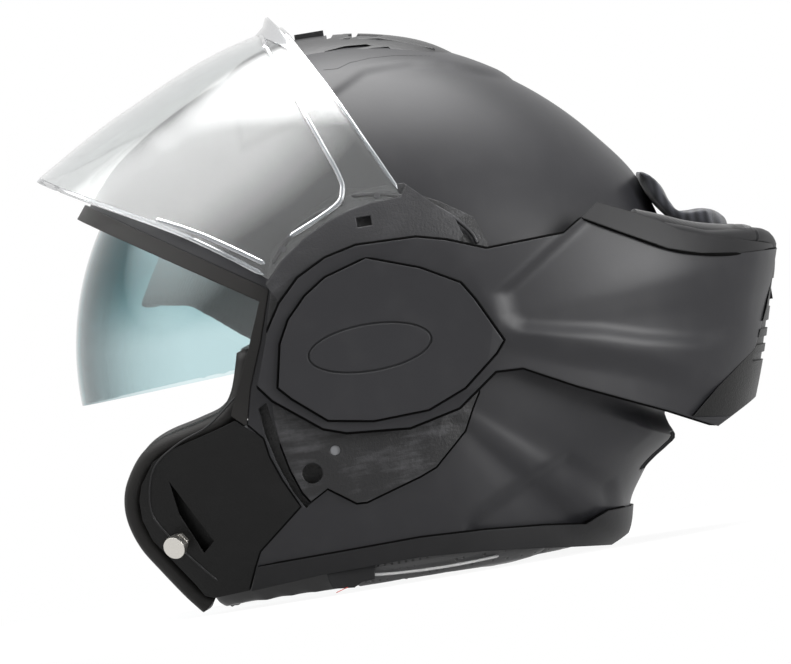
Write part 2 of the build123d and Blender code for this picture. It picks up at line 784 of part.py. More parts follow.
def latch_sockets():
    """The two tracks inside the chin bar that the latch pins run into as it closes."""
    x, z = at(pin_share)
    reach = hypot(x, z)
    frame = pin_frame()
    tip = frame.origin + frame.z_dir * pin_proud
    tilt = (1 - frame.z_dir.Y ** 2) ** 0.5
    outer = abs(tip.Y) + pin_head_radius * tilt + face_gap
    inner = abs(frame.origin.Y)
    lean = pin_proud * tilt
    wide = pin_head_radius + socket_side_gap
    tracks = []
    for side in (-1, 1):
        face = Pos(reach + lean / 2, side * (outer + inner) / 2) * Rectangle(2 * wide + lean, outer - inner)
        ring = revolve(face, axis=Axis.Y)
        size = everywhere()
        tracks.append(ring & span_box((0, size), (-size, size), (socket_floor_share * dome_radius, size)))
    return tracks


def chin_bar_shell():
    """The chin bar and its two arms, solid at the pods and hollow along the arms."""
    shell = chin_form(0) & prism(chin_outline())
    pods = rod(0, 0, solid_pod_share * dome_radius, -everywhere(), everywhere())
    hollow = chin_form(-chin_skin) - pods
    panel = prism(panel_line_shares) - chin_form(-panel_thickness - seam_gap)
    flat = levels["chin"] - side_flat
    floor = flat - head_thickness - head_seat_gap
    cuts = [hollow, chin_sweep(), panel, span_box(*vent_recess_ranges())]
    for side in (-1, 1):
        cuts.append(rod(0, 0, stud_radius + running_fit, side * flat / 2, side * (flat + cut_overrun)))
        cuts.append(rod(0, 0, head_radius + face_gap, side * floor, side * (flat + cut_overrun)))
    cuts.append(button_space(button_clearance, button_travel))
    return shell - cuts - latch_sockets()


def chin_bar_liner():
    """The foam inside the chin bar and the arms."""
    size = everywhere()
    start = chin_liner_start_share * dome_radius
    beyond = span_box((start, size), (-size, size), (-size, size))
    foam = chin_form(-chin_skin - seam_gap) & prism(chin_outline()) & beyond
    cuts = [chin_sweep(), span_box(*vent_recess_ranges()), button_space(button_clearance, button_travel)]
    return foam - cuts - latch_sockets()


def chin_rim_trim():
    """The trim along the chin bar's lower edge, uppermost while the bar is folded back."""
    outline = prism(list(reversed(arm_upper_shares)) + list(reversed(rim_upper_shares)))
    (x_low, x_high), (y_low, y_high) = button_footprint(button_clearance)
    size = everywhere()
    well = span_box((x_low, x_high), (y_low, y_high), (0, size))
    return (chin_form(0) & outline) - [chin_sweep(), well] - latch_sockets()


def vent_recess_ranges():
    """The recess in the chin panel behind the vent slider, as ranges on X, Y and Z."""
    front = chin_profile_shares[0][1] * dome_radius
    z = chin_vent_share * dome_radius
    return ((front - panel_thickness - vent_recess_depth, front + cut_overrun),
            (-vent_recess_width / 2, vent_recess_width / 2),
            (z - vent_recess_height / 2, z + vent_recess_height / 2))


def chin_front_panel():
    """The panel over the front of the chin bar, with louvres and the vent's recess."""
    panel = chin_form(0) & prism(panel_line_shares) & prism(chin_outline())
    cuts = [chin_form(-panel_thickness), span_box(*vent_recess_ranges())]
    for share in louvre_shares:
        z = share * dome_radius
        groove = span_box((0, everywhere()), (-louvre_half_width, louvre_half_width),
                          (z - louvre_height / 2, z + louvre_height / 2))
        cuts.append(groove - chin_form(-panel_thickness / 2))
    return panel - cuts


def chin_vent_slider():
    """The small shutter that opens the chin vent, sliding across in its recess."""
    x_range, y_range, z_range = vent_recess_ranges()
    front = chin_profile_shares[0][1] * dome_radius
    back = x_range[0] + face_gap
    z = chin_vent_share * dome_radius
    near = y_range[0] + face_gap
    z_span = (z - vent_slider_height / 2, z + vent_slider_height / 2)
    body = span_box((back, back + vent_slider_thickness), (near, near + vent_slider_width), z_span)
    middle = near + vent_slider_width / 2
    rib_y = (middle - vent_rib_width / 2, middle + vent_rib_width / 2)
    rib = span_box((back, front - panel_thickness), rib_y, z_span)
    return body + rib


def chin_release_button():
    """The button in the lower edge of the chin bar that frees the two latches."""
    return button_space(0, 0)


def chin_curtain():
    """The fabric flap from the chin bar's lower edge towards the throat."""
    outline = Spline(*[at(share) for share in curtain_shares], periodic=True)
    flap = extrude(Plane.XZ * make_face(outline), amount=curtain_half_width, both=True)
    return flap & turned_body(chin_clear_radius - soft_gap, levels["chin_inner"] - soft_gap)


def pod_cover_left():
    """The cover over the pivot, with a plain oval groove in the middle."""
    out = levels["chin"] + cover_gap
    cover = formed_body(profile(chin_profile_shares, cover_gap + cover_thickness), out + cover_thickness)
    cover &= left_prism(cover_shares)
    ring = Ellipse(oval_long, oval_short)
    ring -= Ellipse(oval_long - oval_groove_width, oval_short - oval_groove_width)
    groove = extrude(Plane.XZ * ring, amount=oval_groove_depth, both=True)
    groove = Pos(0, side_flat - levels["cover"], 0) * groove
    return cover - [formed_body(profile(chin_profile_shares, cover_gap), out), groove]


def latch_housing_left():
    """The jaw piece that the chin bar closes on, with the slot round its latch pin."""
    housing = shell_body(0, shell_half_width) & left_prism(housing_back_shares + housing_front_shares)
    slot = prism(slot_shares) - shell_body(-slot_depth, shell_half_width - slot_depth)
    bore_face = pin_frame() * Circle(pin_neck_radius + standing_fit)
    bore = extrude(bore_face, amount=pin_root + seam_gap, both=True)
    inside = shell_body(-housing_thickness, shell_half_width - housing_thickness)
    return housing - [inside, slot, bore]


def pin_frame():
    """A plane at the latch pin's foot, looking out of the jaw."""
    x, z = at(pin_share)
    radius = blend(shell_profile_shares, pin_angle) * dome_radius
    y = side_depth(pin_share, shell_half_width, radius)
    slope = (y / shell_half_width) ** (side_power - 1) / shell_half_width
    reach = hypot(x, z)
    fall = (reach / radius) ** (side_power - 1) / radius
    outward = Vector(fall * x / reach, -slope, fall * z / reach)
    return Plane(origin=(x, -y, z), z_dir=outward)


def latch_pin_left():
    """The steel mushroom pin that the latch grips."""
    foot = pin_frame()
    neck = foot * Circle(pin_neck_radius)
    pin = extrude(neck, amount=pin_proud) + extrude(neck, amount=-pin_root)
    collar = foot * RegularPolygon(pin_collar_radius, 6)
    pin += extrude(collar, amount=pin_collar_height)
    head = foot.offset(pin_proud - pin_head_thickness) * Circle(pin_head_radius)
    return pin + extrude(head, amount=pin_head_thickness)


def vent_body(offset):
    """The raised form of the top vent over the crown."""
    angles = list(range(0, 48, 12)) + list(range(48, 120, 4)) + list(range(120, 360, 12))
    return formed_body(profile(vent_profile_shares, offset), vent_half_width, angles)


def top_slider_ranges(grow, travel):
    """The space of the top vent slider as ranges on X, Y and Z."""
    x = top_slider_share * dome_radius
    top = blend(vent_profile_shares, top_slider_angle) * dome_radius
    return ((x - top_slider_length / 2 - grow, x + top_slider_length / 2 + grow + travel),
            (-top_slider_width / 2 - grow, top_slider_width / 2 + grow),
            (top - top_slider_floor - grow, top + top_slider_thickness - top_slider_floor + travel))


def top_vent_cover():
    """The fairing over the crown vents, with slots and the slider's channel."""
    cover = vent_body(0) - shell_body(lap_gap, shell_half_width + lap_gap)
    size = everywhere()
    cover &= span_box((-size, size), (-size, size), (0, size))
    top = blend(vent_profile_shares, vent_slot_angle) * dome_radius
    middle = vent_slot_length / 2 + top_slider_length
    for row in (-1, 1):
        y = row * vent_slot_pitch
        x_span = (middle - vent_slot_length / 2, middle + vent_slot_length / 2)
        y_span = (y - vent_slot_width / 2, y + vent_slot_width / 2)
        cover -= span_box(x_span, y_span, (top - vent_slot_depth, top + cut_overrun))
    return cover - span_box(*top_slider_ranges(top_slider_gap, top_slider_travel))


def top_vent_slider():
    """The slider that opens the crown vents."""
    return span_box(*top_slider_ranges(0, 0))


def rear_vent_grille():
    """The flat outlet grille set in its opening under the spoiler."""
    angle, share = grille_middle_share
    turn = radians(angle)
    middle = share * dome_radius - grille_inset - grille_thickness / 2
    outward = Vector(cos(turn), 0, sin(turn))
    frame = Plane(origin=middle * outward, x_dir=(0, 1, 0), z_dir=outward)
    width = 2 * (grille_half_width - face_gap)
    pitch = width / (grille_bars + 1)
    plate = Rectangle(width, grille_height)
    for bar in range(grille_bars):
        across = (bar - (grille_bars - 1) / 2) * pitch
        plate -= Pos(across, 0) * Rectangle(pitch * grille_open_share, grille_height * grille_open_share)
    return extrude(frame * plate, amount=grille_thickness / 2, both=True)


def strap_place():
    """The middle of the strap's width, and the level that the buckle hangs at."""
    return strap_x_share * dome_radius, buckle_level_share * dome_radius


def strap_path(side):
    """The strap's middle line, from its anchor inside the liner to the buckle."""
    x, level = strap_place()
    wide = strap_outside() - strap_thickness / 2
    end = buckle_length / 2 - buckle_wall if side < 0 else buckle_length / 2 + tongue_tail - buckle_wall
    points = [(x, side * share * wide, level_share * dome_radius) for share, level_share in strap_path_shares]
    return Spline(*points, (x, side * end, level), tangents=[(0, 0, -1), (0, -side, 0)])


def strap_outside():
    """How far out the straps' outer faces lie, close inside the liner."""
    return cavity_half_width() - side_flat - soft_gap


def strap(side):
    """One webbing strap, with the loop of its end clamped in the buckle."""
    path = strap_path(side)
    ribbon = Plane(origin=path @ 0, x_dir=(0, 1, 0), z_dir=path % 0) * Rectangle(strap_thickness, strap_width)
    x, z = path.position_at(0).X, anchor_level_share * dome_radius
    hole = rod(x, z, anchor_shank_radius + lap_gap, 0, side * shell_half_width)
    return sweep(ribbon, path=path) - hole


def strap_anchors():
    """The rivets that hold the strap's two ends to the shell."""
    x = strap_x_share * dome_radius
    z = anchor_level_share * dome_radius
    inside = strap_outside() - strap_thickness - lap_gap
    outside = side_depth((strap_x_share, anchor_level_share), shell_half_width - shell_wall, dome_radius)
    rivets = []
    for side in (-1, 1):
        rivet = rod(x, z, anchor_shank_radius, side * inside, side * (outside - face_gap))
        rivets.append(rivet + rod(x, z, anchor_radius, side * (inside - anchor_head), side * inside))
    return rivets


def buckle_receiver():
    """The open-ended case that takes the toothed tongue, with two ears and the lever's pin."""
    x, z = strap_place()
    half_x, half_y, half_z = buckle_width / 2, buckle_length / 2, buckle_height / 2
    case = span_box((x - half_x, x + half_x), (-half_y, half_y), (z - half_z, z + half_z))
    bay_x = tongue_width / 2 + face_gap
    bay_z = tongue_thickness / 2 + tooth_height + face_gap
    bay_y = (buckle_wall - half_y, half_y + cut_overrun)
    bay = span_box((x - bay_x, x + bay_x), bay_y, (z - bay_z, z + bay_z))
    slot_x = strap_width / 2 + face_gap
    slot_z = strap_thickness / 2 + face_gap
    slot_y = (-half_y - cut_overrun, buckle_wall - half_y + face_gap)
    strap_end = span_box((x - slot_x, x + slot_x), slot_y, (z - slot_z, z + slot_z))
    hinge_x, hinge_y, hinge_z = buckle_lever_hinge()
    ear_y = (hinge_y - buckle_knuckle_radius, hinge_y + buckle_knuckle_radius)
    ear_z = (hinge_z - buckle_knuckle_radius, z - half_z + face_gap)
    pin = Pos(hinge_x, hinge_y, hinge_z) * Rot(0, 90, 0) * Cylinder(buckle_pin_radius, buckle_width)
    ears = [span_box(sorted((x + side * bay_x, x + side * half_x)), ear_y, ear_z) for side in (-1, 1)]
    return case - [bay, strap_end] + ears + pin


def buckle_tongue():
    """The ratchet strip on the right strap, teeth downwards."""
    x, z = strap_place()
    mouth = buckle_length / 2
    start, end = mouth - tongue_reach, mouth + tongue_tail
    half_x, half_z = tongue_width / 2, tongue_thickness / 2
    strip = span_box((x - half_x, x + half_x), (start, end), (z - half_z, z + half_z))
    under = z - tongue_thickness / 2
    teeth = int(tongue_reach / tooth_pitch)
    outline = [(start, z), (start, under)]
    for tooth in range(teeth):
        left = start + tooth * tooth_pitch
        outline += [(left + tooth_pitch * tooth_tip_share, under - tooth_height), (left + tooth_pitch, under)]
    outline.append((start + teeth * tooth_pitch, z))
    rack = extrude(Plane.YZ * make_face(Polyline(*outline, close=True)), amount=rack_width / 2, both=True)
    slot_z = (strap_thickness + face_gap) / 2
    slot_y = (end - buckle_wall - face_gap, end + cut_overrun)
    slot = span_box((x - strap_width, x + strap_width), slot_y, (z - slot_z, z + slot_z))
    return (strip + Pos(x, 0, 0) * rack) - slot


def buckle_lever():
    """The lever under the buckle that lifts the pawl off the teeth, turning on the ears' pin."""
    x, y, z = buckle_lever_hinge()
    half_z = buckle_lever_thickness / 2
    half_x = tongue_width / 2
    plate = span_box((x - half_x, x + half_x), (y, y + buckle_lever_length), (z - half_z, z + half_z))
    place = Pos(x, y, z) * Rot(0, 90, 0)
    knuckle = place * Cylinder(buckle_knuckle_radius, tongue_width)
    return plate + knuckle - place * Cylinder(buckle_pin_radius + buckle_pin_fit, buckle_width)


def buckle_lever_hinge():
    """The lever's pivot, as X, Y and Z of its middle."""
    x, z = strap_place()
    under = z - buckle_height / 2 - buckle_lever_gap
    return x, -buckle_length / 2 + buckle_hinge_inset, under - buckle_knuckle_radius


def shield_rivets(grow):
    """The blind rivets that hold the shield's edge on both carriers' flanges."""
    rivets = []
    radius = shield_profile_shares[0][1] * dome_radius
    for side in (-1, 1):
        for angle, share in shield_rivet_shares:
            place = polar(angle, share)
            x, z = at(place)
            out = side_depth(place, levels["carrier"] - shield_thickness, radius - shield_thickness)
            foot, tip = side * (out - face_gap), side * (out + shield_rivet_depth + grow)
            rivets.append(rod(x, z, shield_rivet_radius + grow, foot, tip))
    return rivets


def both(name, left):
    """A left piece and its mirrored twin, by node name."""
    return {name + "_left": left, name + "_right": right_of(left)}


# Building
pieces = {
    "outer_shell": outer_shell(),
    "eyeport_seal": eyeport_seal(),
    "bottom_rim_trim": bottom_rim_trim(),
    "eps_liner": eps_liner(),
    "crown_liner": crown_liner(),
    "neck_roll": neck_roll(),
    **both("cheek_pad", cheek_pad_left()),
    **both("latch_housing", latch_housing_left()),
    **both("latch_pin", latch_pin_left()),
    **both("base_plate", base_plate_left()),
    "base_plate_screws": base_plate_screws(),
    **both("pivot_stud", pivot_stud_left()),
    "pivot_screws": pivot_screws(),
    "top_vent_cover": top_vent_cover(),
    "top_vent_slider": top_vent_slider(),
    "rear_vent_grille": rear_vent_grille(),
    "sun_visor": sun_visor(),
    "sun_visor_lever": sun_visor_lever(),
    "chin_strap_left": strap(-1),
    "chin_strap_right": strap(1),
    "strap_anchors": strap_anchors(),
    "buckle_receiver": buckle_receiver(),
    "buckle_tongue": buckle_tongue(),
    "buckle_lever": buckle_lever(),
    "chin_bar_shell": chin_bar_shell(),
    "chin_bar_liner": chin_bar_liner(),
    "chin_rim_trim": chin_rim_trim(),
    "chin_front_panel": chin_front_panel(),
    "chin_vent_slider": chin_vent_slider(),
    "chin_release_button": chin_release_button(),
    "chin_curtain": chin_curtain(),
    **both("pod_cover", pod_cover_left()),
    "face_shield": face_shield(),
    **both("visor_carrier", visor_carrier_left()),
    "shield_rivets": shield_rivets(0),
}
pieces = {name: Compound(piece) if isinstance(piece, list) else piece for name, piece in pieces.items()}

# The origin goes under the middle of the whole helmet, measured on fine facets
corners = [corner.X for piece in pieces.values() for corner in piece.tessellate(facet_size)[0]]
middle_x = (min(corners) + max(corners)) / 2
place = Pos(-middle_x, 0, rest_share * dome_radius)
os.makedirs("parts", exist_ok=True)
for name, piece in pieces.items():
    export_step(place * piece, f"parts/{name}.step")
print("pivot in the helmet's frame:", round(-middle_x, 4), 0, round(rest_share * dome_radius, 4))
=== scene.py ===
import bmesh
import bpy
import json
import math
import numpy
from functools import partial
from mathutils import Matrix, Vector


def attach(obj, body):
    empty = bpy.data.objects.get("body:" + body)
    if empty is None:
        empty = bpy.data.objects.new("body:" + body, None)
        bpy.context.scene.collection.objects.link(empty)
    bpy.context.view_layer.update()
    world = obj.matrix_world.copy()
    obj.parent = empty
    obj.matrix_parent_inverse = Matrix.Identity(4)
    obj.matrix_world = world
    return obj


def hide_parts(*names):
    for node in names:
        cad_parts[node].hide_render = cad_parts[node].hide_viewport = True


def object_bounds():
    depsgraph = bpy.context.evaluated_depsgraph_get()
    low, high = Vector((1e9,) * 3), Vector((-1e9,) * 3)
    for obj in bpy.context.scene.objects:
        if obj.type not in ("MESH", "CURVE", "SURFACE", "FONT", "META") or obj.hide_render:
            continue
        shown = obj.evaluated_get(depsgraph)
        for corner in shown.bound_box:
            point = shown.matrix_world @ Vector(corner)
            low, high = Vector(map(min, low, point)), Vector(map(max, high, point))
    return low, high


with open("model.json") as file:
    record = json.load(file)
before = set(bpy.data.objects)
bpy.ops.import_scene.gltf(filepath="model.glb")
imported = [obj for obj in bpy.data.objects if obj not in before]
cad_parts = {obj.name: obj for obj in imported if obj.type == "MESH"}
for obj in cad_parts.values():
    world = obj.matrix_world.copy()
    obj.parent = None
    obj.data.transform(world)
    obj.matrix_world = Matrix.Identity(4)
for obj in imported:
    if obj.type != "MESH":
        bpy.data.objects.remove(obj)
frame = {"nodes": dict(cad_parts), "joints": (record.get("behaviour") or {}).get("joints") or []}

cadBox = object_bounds()
nodes = frame["nodes"]
mm = 0.001
hinge = next(j for j in frame["joints"] if j["name"] == "chin_bar_flip")
pivot = Vector(hinge["pos_m"])

helmet = {"dome": 146 * mm, "shellHalfWidth": 116 * mm, "chinHalfWidth": 127.6 * mm, "visorHalfWidth": 122.0 * mm,
          "sideFlat": 2.5 * mm, "sidePower": 2.5}
dome = helmet["dome"]
sides = {"Left": -1, "Right": 1}
farOut = 0.2  # trimming bars reach this far to both sides, past the whole helmet


def linear(hexText):
    channels = [int(hexText[i:i + 2], 16) / 255 for i in (1, 3, 5)]
    return [c / 12.92 if c <= 0.04045 else ((c + 0.055) / 1.055) ** 2.4 for c in channels] + [1.0]


def addNode(tree, kind, settings=None, links=None):
    # a link comes from the output that is given, or from the first output of a given node
    node = tree.nodes.new("ShaderNode" + kind)
    for name, value in (settings or {}).items():
        if isinstance(name, str) and hasattr(node, name):
            setattr(node, name, value)
        else:
            node.inputs[name].default_value = value
    for name, source in (links or {}).items():
        tree.links.new(source.outputs[0] if isinstance(source, bpy.types.Node) else source, node.inputs[name])
    return node


def startTree(owner):
    # empties the node tree, and gives the function that adds a node to it
    owner.use_nodes = True
    owner.node_tree.nodes.clear()
    return partial(addNode, owner.node_tree)


def startMaterial(name):
    material = bpy.data.materials.new(name)
    add = startTree(material)
    return material, add, add("TexCoord").outputs["Object"]


def endMaterial(material, shader):
    addNode(material.node_tree, "OutputMaterial", links={"Surface": shader})
    return material


def endRelief(material, height, strength, depth, edge, settings, links):
    # a relief over edges that look rounded, then the surface itself
    add = partial(addNode, material.node_tree)
    rounded = {"Normal": add("Bevel", {"samples": 4, "Radius": edge})} if edge else {}
    bump = add("Bump", {"Strength": strength, "Distance": depth}, {"Height": height, **rounded})
    return endMaterial(material, add("BsdfPrincipled", settings, {**links, "Normal": bump}))


paint = {"colour": "#151517", "worn": "#212122", "roughness": 0.42, "smoother": 0.03, "duller": 0.05,
         "sheenLevel": 0.2, "peelSize": 3.0 * mm, "peelDepth": 0.02, "dustSize": 14 * mm, "dustFrom": 0.5,
         "dustTo": 0.9, "dustShare": 0.35, "edgeRadius": 0.9 * mm}


def satinPaintedShell(name):
    # Satin black polyurethane paint, sprayed over the moulded shell: a broad soft highlight, faint orange peel.
    material, add, place = startMaterial(name)
    dust = add("TexNoise", {"Scale": 1 / paint["dustSize"], "Detail": 4.0}, {"Vector": place})
    amount = add("MapRange", {"From Min": paint["dustFrom"], "From Max": paint["dustTo"],
                              "To Max": paint["dustShare"]}, {"Value": dust})
    colour = add("Mix", {"data_type": "RGBA", 6: linear(paint["colour"]), 7: linear(paint["worn"])}, {0: amount})
    gloss = add("MapRange", {"To Min": paint["roughness"] - paint["smoother"],
                             "To Max": paint["roughness"] + paint["duller"]}, {"Value": dust})
    peel = add("TexNoise", {"Scale": 1 / paint["peelSize"], "Detail": 1.0}, {"Vector": place})
    return endRelief(material, peel, paint["peelDepth"], mm, paint["edgeRadius"],
                     {"IOR": 1.5, "Specular IOR Level": paint["sheenLevel"]},
                     {"Base Color": colour.outputs[2], "Roughness": gloss})


plastic = {"smoother": 0.05, "duller": 0.08, "scuffSize": 18 * mm, "streak": (30 * mm, 8 * mm, 4 * mm), "slant": 0.35,
           "scuffFrom": 0.24, "scuffTo": 0.42, "scuffShare": 0.25}


def grainedPlastic(name, colour, light, roughness, grain, depth, shine=0.3, scuff=0.0, edge=0.4 * mm):
    # Injection-moulded polyamide with a spark-eroded grain; scuffs show as paler, duller dry marks.
    # The real grain is about 0.1 mm wide, too fine for a pixel of 0.48 mm, so it is drawn over 1 mm wide.
    material, add, place = startMaterial(name)
    fine = add("TexNoise", {"Scale": 1 / grain, "Detail": 3.0, "Roughness": 0.6}, {"Vector": place})
    wide = add("TexNoise", {"Scale": 1 / plastic["scuffSize"], "Detail": 5.0, "Roughness": 0.65}, {"Vector": place})
    streak = add("Mapping", {"Scale": [1 / length for length in plastic["streak"]],
                             "Rotation": (0, plastic["slant"], 0)}, {"Vector": place})
    scratches = add("TexNoise", {"Scale": 1.0, "Detail": 6.0, "Roughness": 0.7}, {"Vector": streak})
    both = add("Math", {"operation": "MULTIPLY"}, {0: wide, 1: scratches})
    amount = add("MapRange", {"From Min": plastic["scuffFrom"], "From Max": plastic["scuffTo"],
                              "To Max": plastic["scuffShare"] + scuff}, {"Value": both})
    colours = add("Mix", {"data_type": "RGBA", 6: linear(colour), 7: linear(light)}, {0: amount})
    gloss = add("MapRange", {"To Min": roughness - plastic["smoother"],
                             "To Max": roughness + plastic["duller"]}, {"Value": wide})
    return endRelief(material, fine, depth, grain, edge, {"IOR": 1.53, "Specular IOR Level": shine},
                     {"Base Color": colours.outputs[2], "Roughness": gloss})


sheets = {"tintFrom": 128 * mm, "tintTo": 172 * mm, "ripple": 40 * mm, "rippleDepth": 0.015, "hazeRoughness": 0.45}


def clearSheet(name, colour, slant, roughness, gloss=0.3, haze=0.0, clear=1.0, shadow="#ffffff", top=None):
    # Injection-moulded polycarbonate: glass-clear face on, deeper in colour where the eye looks along the sheet,
    # and changing to the top colour towards the top where top is given. Its hard coat has a slight haze, which widens
    # the reflections.
    material, add, place = startMaterial(name)
    ripple = add("TexNoise", {"Scale": 1 / sheets["ripple"], "Detail": 1.0}, {"Vector": place})
    bump = add("Bump", {"Strength": sheets["rippleDepth"], "Distance": mm}, {"Height": ripple})
    facing = add("LayerWeight", {"Blend": 0.5}).outputs["Facing"]
    deep = add("MapRange", {"From Min": 0.1, "From Max": 0.8}, {"Value": facing})
    height = add("SeparateXYZ", None, {0: place}).outputs["Z"]
    upwards = add("MapRange", {"From Min": sheets["tintFrom"], "From Max": sheets["tintTo"],
                               "interpolation_type": "SMOOTHSTEP"}, {"Value": height})
    body = add("Mix", {"data_type": "RGBA", 6: linear(colour), 7: linear(top or colour)}, {0: upwards})
    tint = add("Mix", {"data_type": "RGBA", 7: linear(slant)}, {0: deep, 6: body.outputs[2]})
    shader = add("BsdfPrincipled",
                 {"Roughness": roughness, "IOR": 1.586, "Transmission Weight": clear, "Specular IOR Level": gloss,
                  "Coat Weight": haze, "Coat Roughness": sheets["hazeRoughness"]},
                 {"Base Color": tint.outputs[2], "Normal": bump})
    through = add("BsdfTransparent", {"Color": linear(shadow)})
    path = add("LightPath")
    return endMaterial(material, add("MixShader", None, {0: path.outputs["Is Shadow Ray"], 1: shader, 2: through}))


steel = {"rings": 0.6 * mm, "smoother": 0.06, "duller": 0.1, "stretch": 0.4, "edge": 0.3 * mm}


def turnedSteel(name, colour, roughness):
    # Turned stainless steel: fine rings across the axis stretch the highlight. They are really about 0.1 mm wide,
    # and are drawn wider to show.
    material, add, place = startMaterial(name)
    rings = add("TexNoise", {"Scale": 1 / steel["rings"], "Detail": 2.0}, {"Vector": place})
    gloss = add("MapRange", {"To Min": roughness - steel["smoother"],
                             "To Max": roughness + steel["duller"]}, {"Value": rings})
    rounded = add("Bevel", {"samples": 4, "Radius": steel["edge"]})
    shader = add("BsdfPrincipled", {"Base Color": linear(colour), "Metallic": 1.0, "Anisotropic": steel["stretch"]},
                 {"Roughness": gloss, "Normal": rounded})
    return endMaterial(material, shader)


rubber = {"bloom": 6 * mm, "darkest": 0.85, "palest": 1.2, "relief": 0.08, "edge": 0.8 * mm}


def mouldedRubber(name, colour, roughness, shine=0.35):
    # Extruded rubber profile: dull, slightly brown, with a faint bloom.
    material, add, place = startMaterial(name)
    bloom = add("TexNoise", {"Scale": 1 / rubber["bloom"], "Detail": 4.0}, {"Vector": place})
    value = add("MapRange", {"To Min": rubber["darkest"], "To Max": rubber["palest"]}, {"Value": bloom})
    colours = add("HueSaturation", {"Color": linear(colour)}, {"Value": value})
    return endRelief(material, bloom, rubber["relief"], mm, rubber["edge"],
                     {"Roughness": roughness, "IOR": 1.5, "Specular IOR Level": shine}, {"Base Color": colours})


knit = {"fibre": 0.8 * mm, "unevenness": 0.6, "ribHeight": 0.12, "bandsPerMetre": 0.314, "relief": 0.35,
        "roughness": 0.9, "shine": 0.2, "sheen": 0.12}


def knittedCloth(name, colour, light, rib, ribAxis):
    # Ribbed polyester knit: rows of raised stitches with a soft sheen from loose fibres, which are drawn as tufts
    # because single ones are too fine to show.
    material, add, place = startMaterial(name)
    wave = add("TexWave", {"wave_type": "BANDS", "bands_direction": ribAxis, "Detail": 1.0,
                           "Scale": knit["bandsPerMetre"] / rib, "Distortion": knit["unevenness"]},
               {"Vector": place}).outputs["Fac"]
    fibre = add("TexNoise", {"Scale": 1 / knit["fibre"], "Detail": 3.0}, {"Vector": place})
    height = add("Math", {"operation": "ADD"}, {0: wave, 1: fibre})
    # painted shade: the colour is darker in the grooves and paler on the crests, following the same waves as the
    # relief
    colours = add("Mix", {"data_type": "RGBA", 6: linear(colour), 7: linear(light)}, {0: wave})
    return endRelief(material, height, knit["relief"], knit["ribHeight"] * rib, 0,
                     {"Roughness": knit["roughness"], "Specular IOR Level": knit["shine"],
                      "Sheen Weight": knit["sheen"], "Sheen Roughness": 0.5}, {"Base Color": colours.outputs[2]})


leather = {"roughness": 0.42, "holePitch": 3.4 * mm, "holeFrom": 0.16, "holeTo": 0.26, "holeColour": "#030303",
           "grain": 1.2 * mm, "grainShare": 0.25, "depth": 0.5 * mm, "relief": 0.5}


def artificialLeather(name, shade, punched):
    # Coated cloth, embossed with a fine grain and, where it is punched, dotted with rows of small dark holes.
    # The real grain is well under a pixel of 0.48 mm wide, so it is drawn coarser.
    material, add, place = startMaterial(name)
    holes = add("TexVoronoi", {"feature": "F1", "Scale": 1 / leather["holePitch"], "Randomness": 0.0},
                {"Vector": place})
    level = add("MapRange", {"From Min": leather["holeFrom"], "From Max": leather["holeTo"],
                             "To Min": 0.0 if punched else 1.0}, {"Value": holes})
    grain = add("TexNoise", {"Scale": 1 / leather["grain"], "Detail": 3.0}, {"Vector": place})
    height = add("Math", {"operation": "MULTIPLY_ADD", 1: leather["grainShare"]}, {0: grain, 2: level})
    # painted shade: the punched holes are painted near black for the shade inside them, as well as pressed in
    colour = add("Mix", {"data_type": "RGBA", 6: linear(leather["holeColour"]), 7: linear(shade)}, {0: level})
    return endRelief(material, height, leather["relief"], leather["depth"], 0,
                     {"Roughness": leather["roughness"], "IOR": 1.5}, {"Base Color": colour.outputs[2]})


